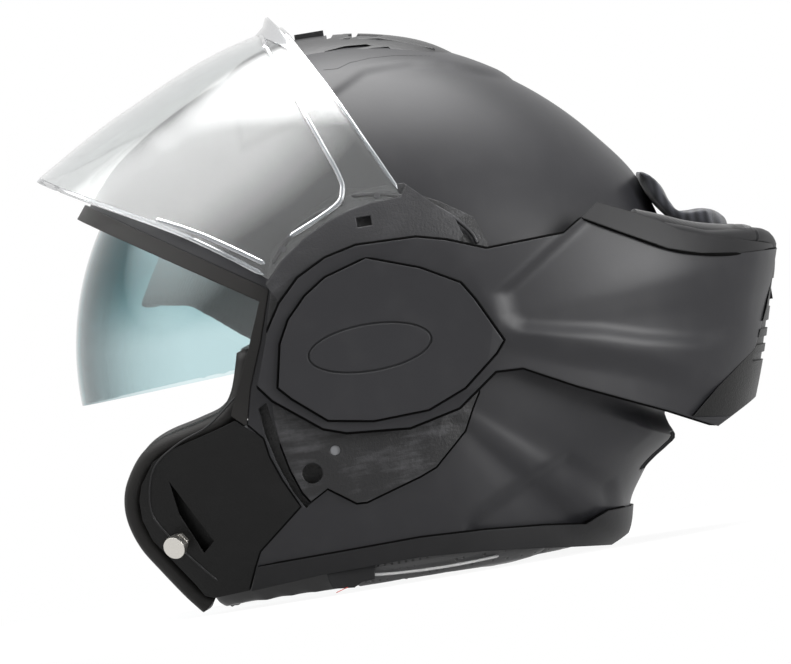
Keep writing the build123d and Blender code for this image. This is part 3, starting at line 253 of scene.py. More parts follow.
# The values after each maker are in the order in which it names them.
recipes = {
    "perforatedLeather": (artificialLeather, "#2a2a2b", True),  # dark grey with rows of dots
    "smoothLeather": (artificialLeather, "#0b0b0c", False),  # black with a soft sheen
    "satinPaintedShell": (satinPaintedShell,),
    "finePolyamide": (grainedPlastic, "#080808", "#111111", 0.42, 1.2 * mm, 0.2, 0.13),  # even and black
    "scuffedPolyamide": (grainedPlastic, "#0f0f10", "#3c3c3e", 0.42, 1.4 * mm, 0.25, 0.24, 0.2, 0.9 * mm),
    "carrierPolyamide": (grainedPlastic, "#131315", "#29292b", 0.4, 1.2 * mm, 0.2, 0.3, 0.08, 0.8 * mm),
    "ventPolyamide": (grainedPlastic, "#0e0e0f", "#19191a", 0.4, 2.0 * mm, 0.08, 0.2),
    "clearPolycarbonate": (clearSheet, "#eff1f0", "#d2d4d5", 0.03, 0.15, 0.05),  # glass-clear visor
    "polycarbonateEdge": (clearSheet, "#6d7073", "#26282b", 0.12, 0.3, 0.0, 0.5),  # cut edge, dark where it is thick
    "tintedPolycarbonate": (clearSheet, "#dff0f2", "#05333a", 0.02, 0.05, 0.0, 1.0, "#c4d6d8", "#5a9ca2"),
    "turnedSteel": (turnedSteel, "#c4c1bb", 0.28),  # stainless, bright
    "zincSteel": (turnedSteel, "#6d6e70", 0.4),  # zinc-plated, dull grey
    "blackenedSteel": (turnedSteel, "#3a3a3c", 0.4),  # chemically blackened, hardly shines
    "browRubber": (mouldedRubber, "#0f0e0d", 0.55, 0.2),  # extruded and soft, brownish black
    "rimRubber": (mouldedRubber, "#101011", 0.5, 0.15),  # extruded and firmer, neutral black
    "jointRubber": (mouldedRubber, "#030303", 0.9, 0.03),  # painted shade: so black and dull that it stands in for the shade in a gap
    "ribbedKnit": (knittedCloth, "#141518", "#2a2b2f", 4.4 * mm, "X"),  # broad ribs
    "brushedTextile": (knittedCloth, "#0a0a0b", "#111112", 1.4 * mm, "Y"),  # brushed, so nearly even
    "webbing": (knittedCloth, "#111112", "#202022", 1.6 * mm, "Z"),  # woven polyester, close ribs
    "pipingCord": (mouldedRubber, "#8a8a8a", 0.5),  # extruded vinyl, light grey
    "redThread": (mouldedRubber, "#b3382e", 0.6),  # bonded nylon, seen only as a red stroke
    "beadFoam": (grainedPlastic, "#1a1a1a", "#262626", 0.8, 3.0 * mm, 0.4),
    "redPolyamide": (grainedPlastic, "#8f1516", "#a32a2a", 0.35, 1.2 * mm, 0.1),  # moulded, signal red
    "aluminium": (turnedSteel, "#a9abad", 0.3),  # turned, pale
}
finishes = {name: make(name, *values) for name, (make, *values) in recipes.items()}
# what each of the maker's pieces is made of, left and right ones together
wearers = {
    "satinPaintedShell": ("outer_shell", "chin_bar_shell", "pod_cover"), "browRubber": ("eyeport_seal",),
    "rimRubber": ("bottom_rim_trim", "chin_rim_trim"), "beadFoam": ("eps_liner", "chin_bar_liner"),
    "brushedTextile": ("crown_liner", "neck_roll", "cheek_pad"), "ribbedKnit": ("chin_strap", "chin_curtain"),
    "finePolyamide": ("latch_housing", "rear_vent_grille", "sun_visor_lever", "buckle_tongue", "chin_front_panel",
                      "chin_vent_slider"),
    "scuffedPolyamide": ("base_plate",), "ventPolyamide": ("top_vent_cover", "top_vent_slider"),
    "carrierPolyamide": ("visor_carrier",), "redPolyamide": ("buckle_lever", "chin_release_button"),
    "turnedSteel": ("latch_pin", "strap_anchors", "buckle_receiver"), "zincSteel": ("base_plate_screws",),
    "blackenedSteel": ("pivot_screws", "shield_rivets"), "aluminium": ("pivot_stud",),
    "tintedPolycarbonate": ("sun_visor",), "clearPolycarbonate": ("face_shield",),
}
finishOf = {wearer: finish for finish, names in wearers.items() for wearer in names}
for name, node in nodes.items():
    node.data.materials.clear()
    node.data.materials.append(finishes[finishOf[name.replace("_left", "").replace("_right", "")]])
print("materials on", len(nodes), "pieces")

# Radii round the pivot, as (degrees, thousandths of the dome radius), from the back over the crown to the face.
shellCurve = [(0, 1030), (22, 1036), (34, 1010), (51, 990), (66, 987), (82, 989), (98, 995.5), (118, 995.5),
    (128, 1008), (136, 1021), (145, 1028), (162, 1065), (182, 1140), (205, 1180), (231, 1190), (250, 1270),
    (270, 1290), (290, 1250), (301, 1130), (309, 1030), (313, 1045), (316, 1036), (320, 996), (326, 989), (338, 992),
    (350, 1015)]
spoilerCurve = [(0, 0), (180, 0), (326, 0), (329, 16), (332, 44), (334, 58), (336, 22), (338, 0)]
visorCurve = [(0, 1085), (60, 1085), (104, 1084), (111, 1085), (118, 1091), (125, 1107), (134, 1149), (140, 1187),
    (144, 1219), (150, 1250), (170, 1220), (220, 1150), (300, 1090)]
chinCurve = [(0, 1345), (4, 1375), (10, 1377), (20, 1352), (32, 1320), (60, 1300), (120, 1300), (200, 1300),
    (270, 1290), (310, 1275), (334, 1275), (344, 1278), (350, 1297), (356, 1314)]


def curveShare(curve, angle):
    # the same smooth closed curve that the maker's drawing uses
    around = [(a + turn, share / 1000) for turn in (-360, 0, 360) for a, share in curve]
    step = max(i for i, pair in enumerate(around) if pair[0] <= angle % 360)
    (a0, s0), (a1, s1), (a2, s2), (a3, s3) = around[step - 1:step + 3]
    span = a2 - a1
    t = (angle % 360 - a1) / span
    slopeIn, slopeOut, rise = (s2 - s0) / (a2 - a0) * span, (s3 - s1) / (a3 - a1) * span, s2 - s1
    return s1 + t * slopeIn + t * t * (3 * rise - 2 * slopeIn - slopeOut) + t ** 3 * (slopeIn + slopeOut - 2 * rise)


spoiler = {"fullTo": 0.52, "goneFrom": 0.80}  # shares of the shell's half width


def shellRadius(angle, y):
    off = abs(y) / helmet["shellHalfWidth"]
    fade = min(1, max(0, (spoiler["goneFrom"] - off) / (spoiler["goneFrom"] - spoiler["fullTo"])))
    return (curveShare(shellCurve, angle) + fade * curveShare(spoilerCurve, angle)) * dome


def curveRadius(curve, less=0.0):
    return lambda angle, y: curveShare(curve, angle) * dome - less


def sideShrink(y, halfWidth):
    # how much smaller the rings are at a distance from the middle
    return (1 - (abs(y) / halfWidth) ** helmet["sidePower"]) ** (1 / helmet["sidePower"])


def shares(*places):
    # outlines are written in thousandths of the dome radius, counted from the side pivot: (backwards, upwards)
    return [(x / 1000, z / 1000) for x, z in places]


def spot(x, y, z):
    return pivot + Vector((x * dome, y, z * dome))


def meshOf(name, corners, faces):
    mesh = bpy.data.meshes.new(name)
    mesh.from_pydata(corners, [], faces)
    return mesh


def ringMesh(name, corners, ring, turned=False):
    # a skin over rings of corners, with a face at both ends
    faces = [[row + k, row + (k + 1) % ring, row + ring + (k + 1) % ring, row + ring + k]
             for row in range(0, len(corners) - ring, ring) for k in range(ring)]
    faces += [list(range(ring))[::-1], list(range(len(corners) - ring, len(corners)))]
    return meshOf(name, corners, [face[::-1] for face in faces] if turned else faces)


def formedMesh(name, radiusAt, halfWidth, turns, rows, inwards=False):
    # rings round the pivot axis that shrink towards both sides, closed by flat caps
    power = 2 / helmet["sidePower"]
    reach = math.asin((1 - helmet["sideFlat"] / halfWidth) ** (helmet["sidePower"] / 2))
    corners = []
    for row in range(rows + 1):
        swing = reach * (2 * row / rows - 1)
        y = halfWidth * math.copysign(abs(math.sin(swing)) ** power, swing)
        shrink = abs(math.cos(swing)) ** power
        for turn in range(turns):
            angle = 360 * turn / turns
            radius, swung = radiusAt(angle, y) * shrink, math.radians(angle)
            corners.append(pivot + Vector((radius * math.cos(swung), y, radius * math.sin(swung))))
    return ringMesh(name, corners, turns, not inwards)


def outlineDistance(x, z, outline):
    # how far points lie from a closed outline, positive inside it
    best, inside = numpy.full(x.shape, 1e9), numpy.zeros(x.shape, bool)
    for (ax, az), (bx, bz) in zip(outline, outline[1:] + outline[:1]):
        ex, ez = bx - ax, bz - az
        t = numpy.clip(((x - ax) * ex + (z - az) * ez) / (ex * ex + ez * ez), 0, 1)
        best = numpy.minimum(best, numpy.hypot(x - ax - t * ex, z - az - t * ez))
        inside ^= ((az > z) != (bz > z)) & (x < ex * (z - az) / (ez if ez else 1e-9) + ax)
    return numpy.where(inside, best, -best)


def softStep(value, width):
    t = numpy.clip(value / width + 0.5, 0, 1)
    return t * t * (3 - 2 * t)


def pressIn(mesh, reliefs, fromSide=None):
    # presses character lines into a surface: each relief is (outline, depth, softness), and
    # fromSide is the distance from the middle beyond which they are pressed
    count = len(mesh.vertices)
    places, normals = numpy.empty(count * 3), numpy.empty(count * 3)
    mesh.vertices.foreach_get("co", places)
    mesh.vertices.foreach_get("normal", normals)
    places, normals = places.reshape(-1, 3), normals.reshape(-1, 3)
    x, z = (places[:, 0] - pivot.x) / dome, (places[:, 2] - pivot.z) / dome
    depth = numpy.zeros(count)
    for outline, amount, softness in reliefs:
        depth += amount * softStep(outlineDistance(x, z, outline) * dome, softness)
    if fromSide:
        depth *= softStep(numpy.abs(places[:, 1]) - fromSide, fromSide / 2)
    places -= normals * depth[:, None]
    mesh.vertices.foreach_set("co", places.ravel())
    mesh.update()


def barMesh(outline, yFrom=-farOut, yTo=farOut):
    # a straight bar with the given side outline
    count = len(outline)
    corners = [spot(x, y, z) for y in (yFrom, yTo) for x, z in outline]
    faces = [list(range(count)), list(range(2 * count - 1, count - 1, -1))]
    faces += [[i, i + count, (i + 1) % count + count, (i + 1) % count] for i in range(count)]
    mesh = meshOf("bar", corners, faces)
    outwards = bmesh.new()
    outwards.from_mesh(mesh)
    bmesh.ops.recalc_face_normals(outwards, faces=outwards.faces)
    outwards.to_mesh(mesh)
    outwards.free()
    return mesh


def joinMeshes(name, meshes):
    joined = bmesh.new()
    for mesh in meshes:
        joined.from_mesh(mesh)
        bpy.data.meshes.remove(mesh)
    mesh = bpy.data.meshes.new(name)
    joined.to_mesh(mesh)
    joined.free()
    return mesh


def freshObject(name, data):
    piece = bpy.data.objects.new(name, data)
    bpy.context.scene.collection.objects.link(piece)
    return piece


def settle(piece):
    # writes the modifiers into the mesh
    shaped = bpy.data.meshes.new_from_object(piece.evaluated_get(bpy.context.evaluated_depsgraph_get()))
    piece.modifiers.clear()
    old, piece.data = piece.data, shaped
    bpy.data.meshes.remove(old)


def trim(piece, cutterMesh, way="DIFFERENCE"):
    cutter = freshObject("cutter", cutterMesh)
    step = piece.modifiers.new("trim", "BOOLEAN")
    step.operation, step.object, step.solver = way, cutter, "EXACT"
    settle(piece)
    bpy.data.objects.remove(cutter)
    bpy.data.meshes.remove(cutterMesh)


def hollowPiece(name, radiusAt, halfWidth, wall, outerGrid, innerGrid, reliefs=(), fromSide=None):
    # an outer skin with character lines pressed into it, and a plain inner skin
    outer = formedMesh("outside", radiusAt, halfWidth, *outerGrid)
    if reliefs:
        pressIn(outer, reliefs, fromSide)
    inner = formedMesh("inside", lambda angle, y: radiusAt(angle, y) - wall, halfWidth - wall, *innerGrid, True)
    return freshObject(name, joinMeshes(name, [outer, inner]))


def finishPiece(piece, finish, body, stands=(), sharpAngle=30):
    piece.data.materials.clear()
    piece.data.materials.append(finishes[finish])
    piece.data.shade_smooth()
    piece.data.set_sharp_from_angle(angle=math.radians(sharpAngle))
    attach(piece, body)
    if stands:
        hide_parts(*stands)
    return piece


def surfacePoint(x, z, mark, curve, halfWidth, proud=0.0):
    # the point of a formed surface over an outline's point, on the left (-1) or right (1) side
    reach, angle = math.hypot(x, z), math.degrees(math.atan2(z, x))
    near = min(1.0, reach / (curveShare(curve, angle) + proud / dome))
    return spot(x, mark * min(halfWidth + proud - helmet["sideFlat"], (halfWidth + proud) * sideShrink(near, 1)), z)


def surfaceLine(outline, mark, curve, halfWidth, proud=0.0):
    return [surfacePoint(x, z, mark, curve, halfWidth, proud) for x, z in outline]


def smoothLine(points, count):
    # evenly spread points on a smooth line through the given ones
    line = []
    for i in range(len(points) - 1):
        before = points[max(0, i - 1)]
        here, after = points[i], points[i + 1]
        beyond = points[min(len(points) - 1, i + 2)]
        for k in range(count):
            t = k / count
            line.append(0.5 * ((2 * here) + (after - before) * t
                               + (2 * before - 5 * here + 4 * after - beyond) * t * t
                               + (3 * here - before - 3 * after + beyond) * t ** 3))
    return line + [points[-1]]


def direction(line, i):
    return (line[min(i + 1, len(line) - 1)] - line[max(i - 1, 0)]).normalized()


pinch = 0.25  # the radius at a tube's ends, as a share of the rest


def tubeMesh(name, line, radius, ring=10, squeeze=1.0):
    # a round bead along a line, with pinched ends
    corners = []
    for i, here in enumerate(line):
        ahead = direction(line, i)
        across = ahead.cross(Vector((0, 1, 0)) if abs(ahead.y) < 0.9 else Vector((0, 0, 1))).normalized()
        up = across.cross(ahead)
        size = radius * (pinch if i in (0, len(line) - 1) else 1)
        for k in range(ring):
            a = 2 * math.pi * k / ring
            corners.append(here + across * math.cos(a) * size * squeeze + up * math.sin(a) * size)
    return ringMesh(name, corners, ring)


def beadPiece(name, line, radius, finish, body, slot, ring=10, sharpAngle=60):
    return finishPiece(freshObject(name, tubeMesh(name, line, radius, ring)), finish, body,
                       sharpAngle=sharpAngle)


shellLines = {
    "wall": 3.1 * mm, "outerGrid": (400, 160), "innerGrid": (200, 80), "grilleHalfWidth": 34 * mm,
    "browAndFace": shares((-1600, 1110), (-848, 609), (-293, 239), (-347, 75), (-404, -66), (-436, -194),
        (-389, -235), (-379, -298), (-351, -378), (-306, -473), (-460, -596), (-485, -645), (-517, -717),
        (-530, -1600), (-1600, -1600)),
    "hem": shares((-1600, -676), (-505, -672), (60, -664), (278, -675), (465, -694), (598, -712), (678, -690),
        (1600, -690), (1600, -1600), (-1600, -1600)),
    "grille": shares((740, -446), (740, -546), (870, -546), (950, -600), (1200, -600), (1200, -400), (900, -446)),
    # the bore behind the base plate and the channel along the jaw, cut from both sides as far in as cutTo
    "hole": (-0.252, -0.373), "holeRadius": 4.8 * mm, "cutTo": 100 * mm,
    "channel": shares((-361, -123), (-348, -208), (-319, -313), (-293, -418), (-272, -468), (-290, -482),
        (-322, -424), (-358, -324), (-382, -220), (-388, -136)),
    # pressed-in fields, as outline, depth and softness: the lower rear corner, and the crown round the vent
    "rearCorner": (2.4 * mm, 7 * mm),
    "cornerOutline": shares((300, -574), (580, -457), (705, -568), (710, -641), (660, -950), (200, -950),
        (220, -620)),
    "ventField": (-1.5 * mm, 3.5 * mm),
    "ventOutline": shares((-300, 700), (-42, 784), (26, 832), (128, 882), (195, 884), (284, 882), (391, 861),
        (600, 790), (600, 1300), (-300, 1300)),
}


def outerShell():
    lines = shellLines
    reliefs = [(lines["cornerOutline"], *lines["rearCorner"]), (lines["ventOutline"], *lines["ventField"])]
    piece = hollowPiece("shellOuterSkin", shellRadius, helmet["shellHalfWidth"], lines["wall"], lines["outerGrid"],
                        lines["innerGrid"], reliefs)
    for outline in ("browAndFace", "hem"):
        trim(piece, barMesh(lines[outline]))
    (x, z), reach = lines["hole"], lines["holeRadius"] / dome
    hole = [(x + reach * math.cos(math.radians(a)), z + reach * math.sin(math.radians(a))) for a in range(0, 360, 20)]
    cuts = [barMesh(lines["grille"], -lines["grilleHalfWidth"], lines["grilleHalfWidth"])]
    for outline in (hole, lines["channel"]):
        cuts += [barMesh(outline, *sorted((mark * farOut, mark * lines["cutTo"]))) for mark in (-1, 1)]
    trim(piece, joinMeshes("cuts", cuts))
    finishPiece(piece, "satinPaintedShell", "helmet", ["outer_shell"])


outletFins = {"places": (-26 * mm, -13 * mm, 0, 13 * mm, 26 * mm), "thickness": 1.8 * mm, "depth": 4.5 * mm,
              "from": 325.4, "to": 335.0, "steps": 14}


def rearOutletFins():
    # upright fins across the rear outlet, flush with the shell, in front of the flat grille
    fins, half = [], outletFins["thickness"] / 2
    for y in outletFins["places"]:
        shrink = sideShrink(y, helmet["shellHalfWidth"])
        outer, inner = [], []
        for i in range(outletFins["steps"] + 1):
            angle = outletFins["from"] + (outletFins["to"] - outletFins["from"]) * i / outletFins["steps"]
            along = (math.cos(math.radians(angle)), math.sin(math.radians(angle)))
            reach = shellRadius(angle, y) * shrink / dome
            outer.append(tuple(reach * share for share in along))
            inner.append(tuple((reach - outletFins["depth"] / dome) * share for share in along))
        fins.append(barMesh(outer + inner[::-1], y - half, y + half))
    finishPiece(freshObject("rearOutletFins", joinMeshes("rearOutletFins", fins)), "satinPaintedShell", "helmet")


chinLines = {
    "skin": 4.4 * mm, "outerGrid": (450, 150), "innerGrid": (120, 48), "stepGrid": (90, 36), "panelDepth": 2.5 * mm,
    "outline": shares((680, 260), (424, 252), (300, 301), (205, 326), (9, 332), (-96, 308), (-193, 259), (-265, 188),
        (-321, 101), (-381, -61), (-339, -116), (-192, -233), (-120, -258), (86, -276), (253, -239), (388, -142),
        (478, -146), (642, -233), (919, -362), (1077, -444), (1235, -368), (1600, -270), (1600, 30), (1368, 93),
        (1220, 102), (1112, 121), (1006, 157), (869, 232), (746, 301)),
    "panel": shares((1500, 70), (1369, 94), (1301, -91), (1241, -214), (1097, -317), (1000, -397), (1600, -500)),
    # pressed-in fields: the scoop on the arm, and the lower flank that folds under
    "scoopRelief": (2.4 * mm, 8 * mm), "flankRelief": (2.4 * mm, 15 * mm), "reliefFromSide": 72 * mm,
    "scoop": shares((452, 105), (488, 125), (795, 325), (920, 300), (1600, 200), (1600, -100), (1086, -165),
        (881, -114), (745, -71), (491, -15), (455, 30)),
    "lowerFlank": shares((425, -48), (505, -68), (658, -130), (869, -205), (1062, -304), (1600, -520), (1600, -900),
        (300, -900), (300, -100)),
    "frontLip": shares((930, 238), (1050, 196), (1130, 166), (1210, 154), (1285, 148), (1325, 134), (1340, 111.5)),
    "lipRadius": 4.4 * mm, "seamRadius": 0.8 * mm, "seamEnd": (1.350, 0.094),
    # the padded edge of the lining inside the rim
    "liningEdge": shares((900, 265), (985, 232), (1060, 200), (1130, 178), (1200, 162), (1262, 150)),
    "liningInset": 9 * mm, "liningRadius": 6 * mm, "liningFill": 0.8,
    "buttonWell": (1.255, 1.325), "buttonHalfWidth": 17.3 * mm, "buttonHeight": 0.3,
}


def chinBar():
    reliefs = [(chinLines["scoop"], *chinLines["scoopRelief"]), (chinLines["lowerFlank"], *chinLines["flankRelief"])]
    piece = hollowPiece("chinBarSkin", curveRadius(chinCurve), helmet["chinHalfWidth"], chinLines["skin"],
                        chinLines["outerGrid"], chinLines["innerGrid"], reliefs, chinLines["reliefFromSide"])
    trim(piece, barMesh(chinLines["outline"]), "INTERSECT")
    # the front panel lies in a shallow step, so only the outer layer is cut there
    depth, halfWidth = chinLines["panelDepth"], helmet["chinHalfWidth"]
    over = formedMesh("over", curveRadius(chinCurve, -mm), halfWidth + mm, *chinLines["stepGrid"])
    under = formedMesh("under", curveRadius(chinCurve, depth), halfWidth - depth, *chinLines["innerGrid"], True)
    step = freshObject("panelStep", joinMeshes("panelStep", [over, under]))
    trim(step, barMesh(chinLines["panel"]), "INTERSECT")
    cutter = step.data
    bpy.data.objects.remove(step)
    trim(piece, cutter)
    (near, far), half, height = chinLines["buttonWell"], chinLines["buttonHalfWidth"], chinLines["buttonHeight"]
    trim(piece, barMesh([(near, 0.0), (far, 0.0), (far, height), (near, height)], -half, half))
    finishPiece(piece, "satinPaintedShell", "chin_bar", ["chin_bar_shell"])


def chinBarLine(outline, proud):
    # one smooth line along the left side, round the front and back along the right side
    left, right = [surfaceLine(outline, mark, chinCurve, helmet["chinHalfWidth"], proud) for mark in sides.values()]
    return smoothLine(left + right[::-1], 8)


jawEdge = {
    "radius": 0.5 * mm,
    "line": shares((-455, -85), (-560, -165), (-662, -205), (-748, -262), (-782, -338), (-786, -424), (-745, -500),
        (-680, -590), (-614, -668)),
}


def jawEdgeBead(side):
    # the thin raised line round the front of the latch housing
    points = surfaceLine(jawEdge["line"], sides[side], shellCurve, helmet["shellHalfWidth"])
    beadPiece("jawEdgeBead" + side, smoothLine(points, 6), jawEdge["radius"], "ventPolyamide", "helmet",
              "latch_housing")


# Painted shade in the joints between neighbouring pieces, laid as near-black tubes: (the surface they follow,
# its half width, how far they stand off), how much wider than the outline they run, their radius, the body and slot
# they belong to, and the outline.
joints = {
    "podCoverSeam": ((chinCurve, 130.6 * mm, -2.3 * mm), 1.012, 0.6 * mm, ("chin_bar", "pod_cover"),
        shares((34, 286), (200, 226), (322, 157), (357, 101), (429, -48), (398, -85), (281, -178),
            (154, -228), (-26, -234), (-171, -209), (-275, -121), (-313, -79), (-283, 59), (-245, 130), (-180, 197),
            (-107, 245), (34, 286))),
    "armLowerSeam": ((chinCurve, 127.6 * mm, -4 * mm), 1.004, 1.0 * mm, ("chin_bar", "chin_bar_shell"),
        chinLines["outline"][9:19] + [(1.065, -0.438)]),
    "armUpperSeam": ((chinCurve, 127.6 * mm, -4 * mm), 1.004, 1.0 * mm, ("chin_bar", "chin_bar_shell"),
        chinLines["outline"][-1:] + chinLines["outline"][:9]),
    "trimSeam": ((shellCurve, 116.5 * mm, 0.0), 0.997, 0.55 * mm, ("helmet", "bottom_rim_trim"),
        shares((-479, -645), (60, -637), (278, -648), (465, -667), (598, -688), (678, -657), (740, -658))),
    "plateSeam": ((shellCurve, 116 * mm, 0.2 * mm), 1.006, 0.55 * mm, ("helmet", "base_plate"),
        shares((-338, -257), (-319, -349), (-292, -428), (-271, -461), (-210, -428), (-125, -490),
            (-91, -492), (93, -438), (147, -417), (259, -317), (295, -248), (327, -195))),
    "crownVentSeam": ((shellCurve, 116 * mm, 0.9 * mm), 1.0, 0.6 * mm, ("helmet", "top_vent_cover"),
        shares((-8, 911), (45, 907), (87, 920), (155, 924), (237, 919), (334, 902), (434, 879))),
    "housingSeam": ((shellCurve, 116 * mm, -0.2 * mm), 1.0, 0.5 * mm, ("helmet", "latch_housing"),
        [(-0.436, -0.180)] + shellLines["browAndFace"][6:13]),
}


def jointSeam(name, side):
    # straight between its corners, but divided so that it follows the surface
    over, grow, radius, owner, outline = joints[name]
    parts, line = 8, []
    for (ax, az), (bx, bz) in zip(outline, outline[1:]):
        line += [(ax + (bx - ax) * k / parts, az + (bz - az) * k / parts) for k in range(parts)]
    grown = [(x * grow, z * grow) for x, z in line + outline[-1:]]
    # a near-black tube of painted shade along the joint
    beadPiece(name + side, surfaceLine(grown, sides[side], *over), radius, "jointRubber", *owner)


def chinBarTrims():
    # a near-black tube of painted shade runs along the joint under the rim trim
    seam = chinLines["outline"][:-6:-1] + [chinLines["seamEnd"]]
    beadPiece("chinRimSeam", chinBarLine(seam, -mm), chinLines["seamRadius"], "jointRubber", "chin_bar",
              "chin_rim_trim")
    radius = chinLines["lipRadius"]
    beadPiece("chinRimLip", chinBarLine(chinLines["frontLip"], -radius), radius, "rimRubber", "chin_bar",
              "chin_rim_trim", 16)
    line = chinBarLine(chinLines["liningEdge"], -chinLines["liningInset"])
    edge = beadPiece("chinLiningEdge", line, chinLines["liningRadius"], "brushedTextile", "chin_bar",
                     "chin_bar_liner", 14, 70)


outerShell()
rearOutletFins()
print("outer shell pressed and trimmed")
chinBar()
chinBarTrims()
for side in sides:
    jawEdgeBead(side)
    for name in joints:
        jointSeam(name, side)
print("chin bar pressed and trimmed")

visorLines = {
    "thickness": 2.4 * mm, "grid": (300, 96),
    "outline": shares((-1400, 942), (-991, 709), (-526, 445), (-288, 272)),
    # the round corner over the carrier, as (degrees, share)
    "arc": [(126, 0.402), (111, 0.414), (100, 0.429), (89, 0.450), (80, 0.470), (69, 0.500)],
    "upper": shares((95, 667), (9, 849), (-88, 1028), (-153, 1119), (-300, 1390), (-1400, 1390)),
    "innerBead": shares((-185, 1062), (-178, 1040), (-168, 1000), (-97, 816), (-40, 660), (-9, 569), (-4, 518),
        (-38, 468), (-200, 395)),
    "upperEdge": shares((-116, 1068), (-103, 1049), (-88, 1023), (7, 845), (92, 665), (172, 492)),
    "lowerEdge": shares((-960, 697), (-821, 617), (-526, 450), (-300, 288)),
    "lowerBead": shares((-620, 524), (-500, 462), (-400, 398), (-290, 322)),
    "beadRadius": 1.3 * mm, "edgeRadius": 1.25 * mm, "beadOutwards": 0.6 * mm,
}


def clearVisor():
    thick, halfWidth = visorLines["thickness"], helmet["visorHalfWidth"]
    piece = hollowPiece("visorSheet", curveRadius(visorCurve), halfWidth, thick, visorLines["grid"],
                        visorLines["grid"])
    arc = [(share * math.cos(math.radians(a)), share * math.sin(math.radians(a))) for a, share in visorLines["arc"]]
    trim(piece, barMesh(visorLines["outline"] + arc + visorLines["upper"]), "INTERSECT")
    finishPiece(piece, "clearPolycarbonate", "visor", ["face_shield"])
    for name in ("innerBead", "upperEdge", "lowerEdge", "lowerBead"):
        radius = visorLines["edgeRadius" if "Edge" in name else "beadRadius"]
        inset = -thick / 2 + (0 if "Edge" in name else visorLines["beadOutwards"])
        left, right = [surfaceLine(visorLines[name], mark, visorCurve, halfWidth, inset) for mark in sides.values()]
        # the lower bead stays on both sides, the others cross the middle
        for number, line in enumerate([left, right] if name == "lowerBead" else [left[::-1] + right]):
            title = "visor" + name[0].upper() + name[1:] + str(number)
            beadPiece(title, smoothLine(line, 8), radius, "polycarbonateEdge", "visor", "face_shield")


# The profile is (along the lip's width, upwards), where the second is a share of the lip's height plus a fixed step.
visorLip = {"halfWidth": 62 * mm, "height": 6.6 * mm, "width": 12 * mm, "endShare": 0.35, "steps": 48, "curveAt": 98,
            "profile": [(-0.01, 0, -0.008), (0.0, 0, 0.0), (0.30, 1, 0.0), (0.42, 0.98, 0.0), (0.62, 0.42, 0.0),
                        (1.0, 0, 0.001), (1.02, 0, -0.008)]}


def visorFingerLip():
    # a finger tab along the middle of the upper edge: hollow in front, fading out to both sides
    upper, corners = visorLines["upper"], []
    for i in range(visorLip["steps"] + 1):
        y = visorLip["halfWidth"] * (2 * i / visorLip["steps"] - 1)
        fade = 1 - (y / visorLip["halfWidth"]) ** 2
        reach = curveShare(visorCurve, visorLip["curveAt"]) * sideShrink(y, helmet["visorHalfWidth"])
        # where this ring of the sheet meets the upper edge
        for (ax, az), (bx, bz) in zip(upper, upper[1:]):
            low, high = math.hypot(ax, az), math.hypot(bx, bz)
            if low <= reach <= high:
                t = (reach - low) / (high - low)
                edge = math.atan2(az + t * (bz - az), ax + t * (bx - ax))
        width = visorLip["width"] * (visorLip["endShare"] + (1 - visorLip["endShare"]) * fade) / (reach * dome)
        height = visorLip["height"] * fade / dome
        for along, share, step in visorLip["profile"]:
            angle, radius = edge + along * width, reach + height * share + step
            corners.append(spot(radius * math.cos(angle), y, radius * math.sin(angle)))
    lip = freshObject("visorFingerLip", ringMesh("visorFingerLip", corners, len(visorLip["profile"])))
    finishPiece(lip, "polycarbonateEdge", "visor", sharpAngle=50)


carrierRail = {
    "radius": 1.1 * mm, "halfWidth": 119.6 * mm,
    "lines": (shares((22, 493), (146, 476), (255, 431), (335, 371), (386, 312), (399, 273)),
              shares((-265, 318), (-201, 390), (-108, 448), (-5, 474)))}


def carrierRails():
    # raised ribs along the border of both visor carriers
    for side, mark in sides.items():
        for number, line in enumerate(carrierRail["lines"]):
            points = smoothLine(surfaceLine(line, mark, visorCurve, carrierRail["halfWidth"]), 8)
            beadPiece("carrierRail" + side + str(number), points, carrierRail["radius"], "carrierPolyamide", "visor",
                      "visor_carrier")


clearVisor()
visorFingerLip()
carrierRails()
print("clear visor made")

crownVent = {
    "slots": [
        shares((-47, 951), (16, 974), (81, 980), (150, 975), (168, 967), (101, 965), (43, 953), (-22, 944)),
        shares((48, 942), (107, 956), (167, 959), (220, 955), (228, 945), (171, 945), (117, 937), (73, 934)),
        shares((26, 1052), (62, 1046), (40, 1015), (26, 1014)),
        shares((111, 1045), (147, 1039), (122, 1006), (108, 1005))],
    "blades": [
        shares((33, 1006), (86, 1010), (96, 1010), (107, 999), (66, 985), (4, 978)),
        shares((121, 1001), (193, 993), (262, 969), (369, 928), (373, 912), (321, 915), (212, 955), (106, 985))],
    "bladeHalfWidth": 27 * mm, "rounding": 1.2 * mm,
}


def crownVentPieces():
    piece = freshObject("crownVentCover", nodes["top_vent_cover"].data.copy())
    for outline in crownVent["slots"]:
        trim(piece, barMesh(outline))
    finishPiece(piece, "ventPolyamide", "helmet", ["top_vent_cover"])
    slider = freshObject("crownVentSlider", nodes["top_vent_slider"].data.copy())
    half = crownVent["bladeHalfWidth"]
    blades = [freshObject("crownVentBlade" + str(i), barMesh(outline, -half, half))
              for i, outline in enumerate(crownVent["blades"])]
    for part in [slider] + blades:
        soften = part.modifiers.new("rounding", "BEVEL")
        soften.width, soften.segments = crownVent["rounding"], 3
        settle(part)
    finishPiece(slider, "ventPolyamide", "crown_vent", ["top_vent_slider"])
    for blade in blades:
        finishPiece(blade, "ventPolyamide", "helmet")


crownVentPieces()
print("crown vent cut and bladed")


